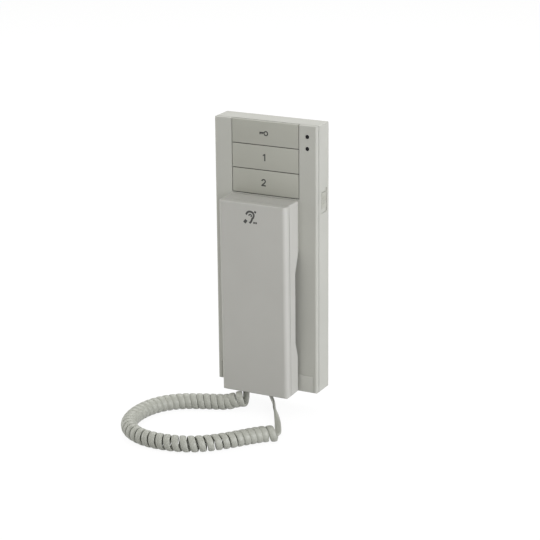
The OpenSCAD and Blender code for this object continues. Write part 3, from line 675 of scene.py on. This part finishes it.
@contextmanager
def editing(piece: Piece) -> Iterator[bmesh.types.BMesh]:
    """Opens a piece in edit mode with nothing selected.

    Args:
        piece: The mesh object to edit.

    Yields:
        Its edit mesh, for selecting by place or normal.
    """
    make_active(piece)
    bpy.ops.object.mode_set(mode="EDIT")
    bpy.ops.mesh.select_mode(type="FACE")
    bpy.ops.mesh.select_all(action="DESELECT")
    yield bmesh.from_edit_mesh(piece.data)
    bpy.ops.object.mode_set(mode="OBJECT")


def settle(piece: Piece, body: Body, material: bpy.types.Material,
           replaced: Sequence[str] = ()) -> None:
    """Gives a finished piece its material and body, hides the CAD nodes that it replaces, and reports it.

    Args:
        piece: The piece, at the origin.
        body: The body that it moves with.
        material: Its finish.
        replaced: CAD nodes that it stands for.
    """
    piece.data.materials.clear()
    piece.data.materials.append(material)
    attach(piece, body.value)
    if replaced:
        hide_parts(*replaced)
    LOG.info("%s rides on %s", piece.name, body.value)


# Cord


def unit(vectors: np.ndarray) -> np.ndarray:
    """Scales vectors to length 1 along the last axis."""
    return vectors / np.linalg.norm(vectors, axis=-1, keepdims=True)


def smooth(share: np.ndarray) -> np.ndarray:
    """Eases a share from 0 to 1."""
    held = np.clip(share, 0.0, 1.0)
    return held * held * (3 - 2 * held)


def curve_through(points: np.ndarray, steps: int) -> np.ndarray:
    """Draws a smooth line through the points of a route.

    Args:
        points: The route's points, one row each.
        steps: How many short lines replace each span.

    Returns:
        The line's points.
    """
    ends = np.vstack([2 * points[0] - points[1], points, 2 * points[-1] - points[-2]])
    t = (np.arange(steps) / steps)[:, None]
    spans = []
    for a, b, c, d in zip(ends, ends[1:], ends[2:], ends[3:]):
        spans.append(0.5 * (2 * b + (c - a) * t + (2 * a - 5 * b + 4 * c - d) * t ** 2
                            + (3 * b - a - 3 * c + d) * t ** 3))
    return np.vstack([*spans, points[-1:]])


def run_lengths(line: np.ndarray) -> np.ndarray:
    """Gives the length run at each point of a line."""
    return np.concatenate([[0.0], np.cumsum(np.linalg.norm(np.diff(line, axis=0), axis=1))])


@dataclass(frozen=True)
class FlatBand:
    """Section of the flat cord, and the tube it makes along a path."""

    width: float = 5.3 * MM
    thickness: float = 2.3 * MM
    points: int = 20
    roundness: float = 2.3

    def section(self) -> np.ndarray:
        """Draws the outline, a flattened oval.

        Returns:
            Its points across and through the band, in metres.
        """
        angle = np.linspace(0.0, math.tau, self.points, endpoint=False)
        power = 2 / self.roundness
        wheel = np.column_stack([np.cos(angle), np.sin(angle)])
        return np.sign(wheel) * np.abs(wheel) ** power * (self.width, self.thickness) / 2

    def tube(self, name: str, path: np.ndarray, outs: np.ndarray, ends: tuple[np.ndarray, np.ndarray]
             ) -> Piece:
        """Builds the tube as a closed mesh with a map along and round it.

        Args:
            name: The piece's name.
            path: Centres of its rings.
            outs: Rough direction of the band's thickness at each ring.
            ends: Directions of the cord at its first and last ring.

        Returns:
            The tube.
        """
        tangent = unit(np.gradient(path, axis=0))
        tangent[0], tangent[-1] = ends
        thick = unit(outs - np.sum(outs * tangent, axis=1, keepdims=True) * tangent)
        wide = np.cross(thick, tangent)
        outline = self.section()
        rings = (path[:, None, :] + wide[:, None, :] * outline[None, :, :1]
                 + thick[:, None, :] * outline[None, :, 1:])
        count, around = len(path), self.points
        faces = [(i * around + j, (i + 1) * around + j, (i + 1) * around + (j + 1) % around,
                  i * around + (j + 1) % around) for i in range(count - 1) for j in range(around)]
        caps = [tuple(range(around)), tuple(reversed(range((count - 1) * around, count * around)))]
        mesh = bpy.data.meshes.new(name)
        mesh.from_pydata(rings.reshape(-1, 3).tolist(), [], faces + caps)
        self._map(mesh, run_lengths(path))
        mesh.shade_smooth()
        piece = add_object(name, mesh)
        with editing(piece):
            bpy.ops.mesh.select_all(action="SELECT")
            bpy.ops.mesh.normals_make_consistent(inside=False)
        return piece

    def _map(self, mesh: bpy.types.Mesh, lengths: np.ndarray) -> None:
        """Lays the map: metres along the cord, and 0 to 1 round it.

        Args:
            mesh: The tube, with its rings in order and its two caps last.
            lengths: Length run at each ring.
        """
        layer = mesh.uv_layers.new(name="cord_map")
        around = self.points
        for polygon in mesh.polygons:
            corners = [mesh.loops[i].vertex_index for i in polygon.loop_indices]
            wraps = len(corners) == 4 and any(v % around == around - 1 for v in corners)
            for loop, vertex in zip(polygon.loop_indices, corners):
                step = vertex % around
                if wraps and step == 0:
                    step = around
                layer.data[loop].uv = (lengths[vertex // around], step / around)


@dataclass(frozen=True)
class CordSet:
    """Curly cord from the handset along the table, and its plain lead up to the station."""

    band: FlatBand = FlatBand()
    curl_route: tuple[Point, ...] = (
        (-0.010, -0.041, -0.1163), (-0.015, -0.0425, -0.1169), (-0.0205, -0.044, -0.1188),
        (-0.0265, -0.046, -0.120), (-0.042, -0.052, -0.120),
        (-0.057, -0.059, -0.120), (-0.068, -0.069, -0.120), (-0.075, -0.083, -0.120),
        (-0.077, -0.101, -0.120), (-0.073, -0.118, -0.120), (-0.063, -0.131, -0.120),
        (-0.047, -0.139, -0.120), (-0.028, -0.140, -0.120), (-0.011, -0.136, -0.120),
        (0.002, -0.128, -0.120), (0.014, -0.116, -0.120), (0.025, -0.102, -0.120),
        (0.033, -0.093, -0.120), (0.040, -0.088, -0.120))
    lead_route: tuple[Point, ...] = (
        (0.036, -0.074, -0.125), (0.029, -0.060, -0.125), (0.024, -0.051, -0.1245),
        (0.018, -0.041, -0.124), (0.012, -0.032, -0.124), (0.007, -0.023, -0.124),
        (0.002, -0.016, -0.1235), (-0.002, -0.0125, -0.121), (-0.004, -0.012, -0.117),
        (-0.004, -0.012, -0.110))
    plug: Point = (-0.0115, -0.036, -0.1065)
    coil_diameter: float = 13.0 * MM
    curls: float = 45.25
    crowd_far: float = 0.010
    crowd_near: float = 0.004
    spread_last: float = 0.008
    spread_reach: float = 0.03
    first_turn: float = 270.0
    rings_per_curl: int = 28
    curl_steps: int = 24
    lead_steps: int = 10
    share_steps: int = 2001
    drop_rings: int = 9
    drop_end: float = 0.85
    tail: float = 4.4 * MM
    tail_rings: int = 4
    reach: float = 1.0 * MM
    on_edge: Point = (-0.9, -0.44, 0.0)
    twist_start: float = 0.1
    twist_run: float = 0.65
    lift_start: Point = (0.0, -0.082, -0.120)
    lift_end: Point = (0.0, -0.036, -0.120)

    def build(self, book: FinishBook) -> None:
        """Args:
            book: The finishes.
        """
        path, outs, tail = self._curls()
        curly = self.band.tube("curly_cord_band", path, outs, (np.array(DOWN), tail))
        lead_path, lead_outs = self._lead(path[-1], tail)
        lead = self.band.tube("cord_lead_band", lead_path, lead_outs, (tail, np.array(UP)))
        material = book.by_slot[Slot.CORD]
        settle(lead, Body.STATION, material, ("cord_lead",))
        curly.data.materials.append(material)
        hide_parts("curly_cord")
        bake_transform(curly)
        LOG.info("%s bends between the station and the handset", curly.name)

    def _curls(self) -> tuple[np.ndarray, np.ndarray, np.ndarray]:
        """Winds the flat cord round its middle line.

        Returns:
            Ring centres, thickness directions, and the level direction of the end.
        """
        line = curve_through(np.array(self.curl_route), self.curl_steps)
        runs = run_lengths(line)
        total = runs[-1]

        def axis_at(s: np.ndarray) -> np.ndarray:
            """Gives the middle line's point at a length."""
            return np.column_stack([np.interp(s, runs, line[:, k]) for k in range(3)])

        def crowd(u: np.ndarray) -> np.ndarray:
            """Gives the share of the curls within a share of the line."""
            last = self.spread_last * np.minimum((1 - u) / self.spread_reach, 1.0) * u
            return (u + self.crowd_far * np.sin(math.tau * u * u)
                    + self.crowd_near * np.sin(math.pi * u) + last)

        shares = np.linspace(0.0, 1.0, self.share_steps)
        turns = np.linspace(0.0, 1.0, round(self.curls * self.rings_per_curl) + 1)
        stations = total * np.interp(turns, crowd(shares), shares)
        along = unit(axis_at(np.minimum(stations + self.reach, total))
                     - axis_at(np.maximum(stations - self.reach, 0.0)))
        side = unit(np.cross(along, UP))
        up = np.cross(side, along)
        turn = math.radians(self.first_turn) + math.tau * self.curls * (1 - turns)
        outs = np.cos(turn)[:, None] * side + np.sin(turn)[:, None] * up
        curls = axis_at(stations) + (self.coil_diameter - self.band.thickness) / 2 * outs
        tail = unit((curls[-1] - curls[-2]) * (1.0, 1.0, 0.0))
        drop = np.linspace(0.0, self.drop_end, self.drop_rings)[:, None]
        level = np.linspace(1 / self.tail_rings, 1.0, self.tail_rings)[:, None]
        path = np.vstack([(1 - drop) * np.array(self.plug) + drop * curls[0], curls,
                          curls[-1] + level * tail * self.tail])
        return path, np.vstack([[outs[0]] * self.drop_rings, outs, [DOWN] * self.tail_rings]), tail

    def _lead(self, start: np.ndarray, tail: np.ndarray) -> tuple[np.ndarray, np.ndarray]:
        """Leads the flat cord from the last curl to its socket, turning on edge as it rises.

        Args:
            start: Where the curls end.
            tail: The level direction there.

        Returns:
            Ring centres and thickness directions.
        """
        route = np.vstack([start, start + tail * self.tail, np.array(self.lead_route)])
        line = curve_through(route, self.lead_steps)
        risen = smooth((np.linspace(0.0, 1.0, len(line)) - self.twist_start) / self.twist_run)[:, None]
        return line, (1 - risen) * np.array(DOWN) + risen * np.array(self.on_edge)


# Printed marks


@dataclass(frozen=True)
class Stroke:
    """One line of a pictogram, in millimetres across and up its face."""

    points: tuple[tuple[float, float], ...]
    width: float
    closed: bool = False


@dataclass(frozen=True)
class Mark:
    """A printed sign: its strokes, its middle across and up in metres, and the body it is on."""

    name: str
    body: Body
    centre: tuple[float, float]
    strokes: tuple[Stroke, ...]


@dataclass(frozen=True)
class HandsetFace:
    """Front face of the handset, which leans forward with height."""

    bottom: tuple[float, float] = (-43.3 * MM, -109.5 * MM)
    lean: float = 0.8

    def depth_at(self, z: float) -> float:
        """Gives the face's Y at a height."""
        return self.bottom[0] - (z - self.bottom[1]) * math.tan(math.radians(self.lean))


@dataclass(frozen=True)
class PrintedMarks:
    """Ink on the keys and on the handset's front."""

    ink: float = 0.06 * MM
    bend_steps: int = 10
    edge_steps: int = 4
    key_front: float = -21.0 * MM
    face: HandsetFace = HandsetFace()
    marks: tuple[Mark, ...] = (
        Mark("digit_1_print", Body.CALL_KEY_1, (-0.75 * MM, 80.9 * MM), (
            Stroke(((-1.3, 1.45), (0.45, 2.55)), 1.0),
            Stroke(((0.35, 2.9), (0.35, -2.85)), 1.15))),
        Mark("digit_2_print", Body.CALL_KEY_2, (-1.6 * MM, 60.4 * MM), (
            Stroke(((-1.65, 1.2), (-1.05, 2.15), (0.1, 2.5), (1.15, 2.1), (1.45, 1.05), (0.85, -0.1),
                    (-0.45, -1.25), (-1.55, -2.4)), 1.1),
            Stroke(((-2.05, -2.4), (1.9, -2.4)), 1.05))),
        Mark("door_key_print", Body.DOOR_KEY, (-0.9 * MM, 100.3 * MM), (
            Stroke(((1.6, 1.55), (3.15, 0.0), (1.6, -1.55), (0.05, 0.0)), 1.05, True),
            Stroke(((-0.1, 0.45), (-4.0, 0.45)), 1.2),
            Stroke(((-3.45, 0.5), (-3.45, -1.05)), 1.05),
            Stroke(((-1.75, 0.5), (-1.75, -0.85)), 1.05))),
        Mark("ear_print", Body.HANDSET, (-1.1 * MM, 38.2 * MM), (
            Stroke(((-3.7, 2.1), (-2.3, 4.2), (0.5, 4.8), (2.8, 3.3), (2.8, 0.9), (1.5, -1.1), (0.6, -3.2),
                    (-0.9, -4.5)), 1.65),
            Stroke(((-1.5, 1.5), (-0.3, 2.6), (0.9, 2.0), (0.6, 0.5)), 1.15),
            Stroke(((-5.3, -4.7), (-3.5, -2.2)), 2.5),
            Stroke(((3.9, 4.2), (4.7, 5.6)), 1.8),
            Stroke(((3.2, -3.1), (3.2, -4.7)), 1.45),
            Stroke(((5.0, -3.1), (5.0, -4.7)), 1.45))))

    def build(self, book: FinishBook) -> None:
        """Prints every mark.

        Args:
            book: The finishes.
        """
        for mark in self.marks:
            front = self.face.depth_at if mark.body is Body.HANDSET else lambda z: self.key_front
            settle(self._pictogram(mark.name, mark.strokes, mark.centre, front), mark.body, book.ink)

    def _pictogram(self, name: str, strokes: Sequence[Stroke], centre: tuple[float, float],
                   front: Callable[[float], float]) -> Piece:
        """Draws strokes on an upright face as one thin mesh.

        Args:
            name: The piece's name.
            strokes: Lines of the pictogram.
            centre: Its middle across and in height.
            front: Gives the face's Y at a height.

        Returns:
            The pictogram.
        """
        drawn = [self._line(stroke) for stroke in strokes]
        make_active(drawn[0])
        for line in drawn:
            line.select_set(True)
        bpy.ops.object.join()
        piece = bpy.context.object
        piece.name = name
        for vertex in piece.data.vertices:
            across, up, depth = vertex.co
            z = centre[1] + up
            vertex.co = (centre[0] + across, front(z) - depth, z)
        piece.data.flip_normals()
        return piece

    def _line(self, stroke: Stroke) -> Piece:
        """Draws one stroke flat.

        Args:
            stroke: Its points and width in millimetres.

        Returns:
            The stroke as a mesh in metres, across X, up Y and thin in Z.
        """
        bpy.ops.object.select_all(action="DESELECT")
        bpy.ops.curve.primitive_bezier_curve_add()
        piece = bpy.context.object
        curve = piece.data
        curve.splines.clear()
        spline = curve.splines.new("BEZIER")
        spline.bezier_points.add(len(stroke.points) - 1)
        for knot, (across, up) in zip(spline.bezier_points, stroke.points):
            knot.co = (across * MM, up * MM, 0.0)
            knot.handle_left_type = knot.handle_right_type = "AUTO"
        spline.use_cyclic_u = stroke.closed
        curve.resolution_u = self.bend_steps
        curve.bevel_depth = stroke.width / 2 * MM
        curve.bevel_resolution = self.edge_steps
        curve.use_fill_caps = True
        bpy.ops.object.convert(target="MESH")
        piece.data.transform(Matrix.Diagonal((1.0, 1.0, self.ink / (stroke.width * MM), 1.0)))
        return piece


# Small mouldings and screws


@dataclass(frozen=True)
class SoftEdges:
    """Small mouldings whose sharp edges are rounded a little, as a mould leaves them."""

    width: float = 0.22 * MM
    segments: int = 3
    sharp: float = 40.0
    flat: float = 1.0
    merge: float = 0.001 * MM
    mouldings: tuple[tuple[str, Body, Slot], ...] = (
        ("door_key", Body.DOOR_KEY, Slot.KEY),
        ("call_key_1", Body.CALL_KEY_1, Slot.KEY),
        ("call_key_2", Body.CALL_KEY_2, Slot.KEY),
        ("volume_slider", Body.VOLUME_SLIDER, Slot.KEY),
        ("lower_cover", Body.STATION, Slot.SHELL),
        ("light_pipe_upper", Body.STATION, Slot.LIGHT_PIPE),
        ("light_pipe_lower", Body.STATION, Slot.LIGHT_PIPE))

    def build(self, frame: dict, book: FinishBook) -> None:
        """Rounds and dresses every moulding.

        Args:
            frame: The loaded frame.
            book: The finishes.
        """
        for name, body, slot in self.mouldings:
            settle(self._rounded(frame["nodes"][name]), body, book.by_slot[slot], (name,))

    def _rounded(self, node: Piece) -> Piece:
        """Copies a CAD node and rounds its outer edges.

        Args:
            node: The CAD node, which stays as it is.

        Returns:
            The rounded copy.
        """
        piece = add_object(f"{node.name}_moulding", node.data.copy())
        piece.data.transform(node.matrix_world)
        with editing(piece):
            bpy.ops.mesh.select_all(action="SELECT")
            bpy.ops.mesh.remove_doubles(threshold=self.merge)
            bpy.ops.mesh.dissolve_limited(angle_limit=math.radians(self.flat))
            bpy.ops.mesh.select_all(action="DESELECT")
            bpy.ops.mesh.select_mode(type="EDGE")
            for edge in bmesh.from_edit_mesh(piece.data).edges:
                edge.select_set(edge.is_manifold
                                and edge.calc_face_angle_signed(0.0) > math.radians(self.sharp))
            bpy.ops.mesh.bevel(offset=self.width, segments=self.segments, clamp_overlap=True)
        bpy.ops.object.shade_smooth_by_angle(angle=math.radians(self.sharp))
        return piece


@dataclass(frozen=True)
class CrossScrews:
    """Pan-head screws with a cross recess that hold the handset's two shells together."""

    node: str = "handset_screws"
    head: tuple[float, float] = (2.8 * MM, 1.6 * MM)
    shank: float = 1.4 * MM
    recess: tuple[float, float, float] = (3.4 * MM, 0.8 * MM, 1.0 * MM)
    crown: float = 0.7 * MM
    crown_segments: int = 5
    sides: int = 40
    sharp: float = 30.0

    def build(self, book: FinishBook) -> None:
        """Models one screw and copies it to the other place.

        Args:
            book: The finishes.
        """
        low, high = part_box(self.node)
        radius = self.head[0]
        middle = Vector(((low.x + high.x) / 2, high.y, low.z + radius))
        lower = self._screw(middle, high.y - low.y)
        upper = add_object("handset_screw_upper", lower.data.copy())
        upper.data.transform(Matrix.Translation((0.0, 0.0, high.z - low.z - 2 * radius)))
        for screw in (lower, upper):
            settle(screw, Body.HANDSET, book.by_slot[Slot.STEEL], (self.node,))

    def _screw(self, top: Vector, length: float) -> Piece:
        """Models a screw whose head faces the wall.

        Args:
            top: Middle of the head's outer face.
            length: Length from that face to the tip.

        Returns:
            The screw.
        """
        radius, height = self.head
        bpy.ops.object.select_all(action="DESELECT")
        bpy.ops.mesh.primitive_cylinder_add(vertices=self.sides, radius=radius, depth=height,
                                            location=top - Vector((0.0, height / 2, 0.0)),
                                            rotation=(math.pi / 2, 0.0, 0.0))
        piece = bpy.context.object
        piece.name = "handset_screw_lower"
        bpy.ops.object.transform_apply(location=True, rotation=True, scale=True)
        with editing(piece) as mesh:
            for face in mesh.faces:
                face.select_set(face.normal.y < -FACING)
            bpy.ops.mesh.inset(thickness=radius - self.shank)
            bpy.ops.mesh.extrude_region_move(
                TRANSFORM_OT_translate={"value": (0.0, height - length, 0.0)})
            bpy.ops.mesh.select_all(action="DESELECT")
            for face in bmesh.from_edit_mesh(piece.data).faces:
                outer = face.calc_center_median().y > top.y - height / 4
                face.select_set(outer and face.normal.y > FACING)
            bpy.ops.mesh.bevel(offset=self.crown, segments=self.crown_segments)
        self._cut_recess(piece, top)
        bpy.ops.object.shade_smooth_by_angle(angle=math.radians(self.sharp))
        return piece

    def _cut_recess(self, screw: Piece, top: Vector) -> None:
        """Cuts a cross into a screw's head.

        Args:
            screw: The screw.
            top: Middle of its outer face.
        """
        long, wide, deep = self.recess
        for size in ((long, 2 * deep, wide), (wide, 2 * deep, long)):
            bpy.ops.object.select_all(action="DESELECT")
            bpy.ops.mesh.primitive_cube_add(size=1.0, location=top)
            cutter = bpy.context.object
            cutter.scale = size
            bpy.ops.object.transform_apply(location=True, rotation=True, scale=True)
            make_active(screw)
            cut = screw.modifiers.new("recess", "BOOLEAN")
            cut.operation = "DIFFERENCE"
            cut.solver = "EXACT"
            cut.object = cutter
            bpy.ops.object.modifier_apply(modifier=cut.name)
            bpy.data.objects.remove(cutter)


# Carried-over pieces


@dataclass(frozen=True)
class StationDress:
    """CAD nodes of the station and handset that keep their shape, by finish."""

    handset: tuple[str, ...] = ("handset_front", "handset_rear")
    nodes: tuple[tuple[Slot, tuple[str, ...]], ...] = (
        (Slot.SHELL, ("rear_housing", "front_cover", "lower_cover", "handset_front", "handset_rear")),
        (Slot.KEY, ("door_key", "call_key_1", "call_key_2", "hook_plunger", "volume_slider")),
        (Slot.STEEL, ("wall_plate", "board_screws", "cover_screws", "handset_screws", "terminal_screws",
                      "mic_capsule", "handset_weight")),
        (Slot.BOARD, ("main_board",)),
        (Slot.LIGHT_PIPE, ("light_pipe_upper", "light_pipe_lower")),
        (Slot.PLUG, ("base_plug", "handset_plug")),
        (Slot.SEAL, ("ear_gasket", "mic_boot")),
        (Slot.WINDING, ("hearing_coil",)),
        (Slot.LED, ("status_leds",)),
        (Slot.TERMINAL, ("terminal_block",)),
        (Slot.DARK_PLASTIC, ("key_frame", "door_switch", "call_switch_1", "call_switch_2", "hook_switch",
                             "ringer", "volume_switch", "base_socket", "door_plunger", "call_plunger_1",
                             "call_plunger_2", "ear_speaker", "handset_socket")))

    def dress(self, frame: dict, book: FinishBook) -> None:
        """Gives every node its finish.

        Args:
            frame: The loaded frame.
            book: The finishes.
        """
        for slot, names in self.nodes:
            for name in names:
                node = frame["nodes"][name]
                node.data.materials.clear()
                node.data.materials.append(book.handset if name in self.handset else book.by_slot[slot])
            LOG.info("%s: %s", slot.value, ", ".join(names))


# Studio


@dataclass(frozen=True)
class PhotoCamera:
    """Camera at the photograph's place."""

    position: Point = (0.66036, -1.31432, 0.44805)
    yaw: float = 26.93
    pitch: float = 17.56
    roll: float = -0.484
    lens: float = 127.15
    sensor: float = 36.0

    def build(self) -> None:
        """Builds the camera and makes it the scene's."""
        yaw, pitch, roll = (math.radians(a) for a in (self.yaw, self.pitch, self.roll))
        back = Vector((math.sin(yaw) * math.cos(pitch), -math.cos(yaw) * math.cos(pitch), math.sin(pitch)))
        level = Vector((math.cos(yaw), math.sin(yaw), 0.0))
        upright = back.cross(level)
        right = level * math.cos(roll) + upright * math.sin(roll)
        up = upright * math.cos(roll) - level * math.sin(roll)
        data = bpy.data.cameras.new("photo_camera")
        data.lens = self.lens
        data.sensor_width = self.sensor
        camera = add_object("photo_camera", data)
        turned = Matrix((right, up, back)).transposed().to_4x4()
        camera.matrix_world = Matrix.Translation(self.position) @ turned
        bpy.context.scene.camera = camera


@dataclass(frozen=True)
class SoftLamp:
    """Square softbox that shines at a point."""

    name: str
    position: Point
    size: float
    power: float
    colour: Colour = WHITE
    target: Point = (0.0, -0.03, 0.0)

    def build(self) -> None:
        """Adds the lamp."""
        data = bpy.data.lights.new(self.name, "AREA")
        data.shape = "SQUARE"
        data.size = self.size
        data.energy = self.power
        data.color = self.colour
        lamp = add_object(self.name, data)
        lamp.location = self.position
        aim = Vector(self.target) - Vector(self.position)
        lamp.rotation_euler = aim.to_track_quat("-Z", "Y").to_euler()


@dataclass(frozen=True)
class Studio:
    """White floor and surroundings, and soft light from both sides, the front, above and behind."""

    floor_z: float = -126.7 * MM
    floor_size: float = 16.0
    ambient: float = 0.31
    ambient_tint: Colour = (1.0, 1.0, 0.96)
    floor_white: float = 0.92
    floor_shadow: float = 0.12
    floor_grey: float = 0.52
    lamps: tuple[SoftLamp, ...] = (
        SoftLamp("right_softbox", (1.6, -0.35, 0.25), 1.4, 28.5, (0.95, 0.955, 1.0)),
        SoftLamp("left_softbox", (-1.6, -0.4, 0.3), 1.4, 12.0),
        SoftLamp("front_softbox", (0.3, -1.5, 0.35), 1.4, 4.0),
        SoftLamp("upper_softbox", (0.0, -1.1, 2.8), 1.0, 9.5),
        SoftLamp("rear_softbox", (-0.35, 1.0, 1.5), 1.2, 15.0))

    def build(self) -> None:
        """Builds world, floor and lamps, and sets the plain view transform."""
        bpy.context.scene.view_settings.view_transform = "Standard"
        self._world()
        self._floor()
        for lamp in self.lamps:
            lamp.build()

    @staticmethod
    def _seen(desk: NodeDesk) -> Socket:
        """Tells the rays that show the backdrop from those that light the object.

        Args:
            desk: The backdrop's nodes.

        Returns:
            1 for a ray that shows it, and else 0.
        """
        path = desk.add("LightPath")
        mirrored = desk.math("MAXIMUM", path.outputs["Is Glossy Ray"], path.outputs["Is Transmission Ray"])
        return desk.math("MAXIMUM", path.outputs["Is Camera Ray"], mirrored)

    def _world(self) -> None:
        """Lights evenly from all round, and shows white."""
        world = bpy.data.worlds.new("studio_world")
        bpy.context.scene.world = world
        world.use_nodes = True
        world.node_tree.nodes.clear()
        desk = NodeDesk(world.node_tree)
        light = desk.add("Background", Color=self.ambient_tint, Strength=self.ambient)
        white = desk.add("Background", Color=WHITE, Strength=1.0)
        desk.add("OutputWorld", Surface=desk.mix_shaders(self._seen(desk), light, white).outputs[0])

    def _floor(self) -> None:
        """Lays a floor that shows white with a faint shadow, and bounces a pale grey."""
        bpy.ops.object.select_all(action="DESELECT")
        bpy.ops.mesh.primitive_plane_add(size=self.floor_size, location=(0.0, 0.0, self.floor_z))
        floor = bpy.context.object
        floor.name = "studio_floor"
        material = bpy.data.materials.new("studio_floor")
        material.use_nodes = True
        material.node_tree.nodes.clear()
        desk = NodeDesk(material.node_tree)
        glow = desk.add("Emission", Color=WHITE, Strength=self.floor_white)
        veil = desk.add("BsdfDiffuse", Color=(self.floor_shadow,) * 3)
        shown = desk.tree.nodes.new("ShaderNodeAddShader")
        desk.join(glow.outputs[0], shown.inputs[0])
        desk.join(veil.outputs[0], shown.inputs[1])
        bounce = desk.add("BsdfDiffuse", Color=(self.floor_grey,) * 3)
        above = desk.mix_shaders(self._seen(desk), bounce, shown)
        below = desk.add("NewGeometry").outputs["Backfacing"]
        both = desk.mix_shaders(below, above, desk.add("BsdfTransparent"))
        desk.add("OutputMaterial", Surface=both.outputs[0])
        floor.data.materials.append(material)


def main() -> None:
    """Builds camera, cords, pieces and studio in order."""
    logging.basicConfig(level=logging.INFO, format="%(message)s")
    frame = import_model()
    PhotoCamera().build()
    low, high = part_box("hearing_coil")
    book = FinishBook(tuple((low + high) / 2))
    CordSet().build(book)
    StationDress().dress(frame, book)
    SoftEdges().build(frame, book)
    CrossScrews().build(book)
    PrintedMarks().build(book)
    Studio().build()


if __name__ == "__main__":
    main()
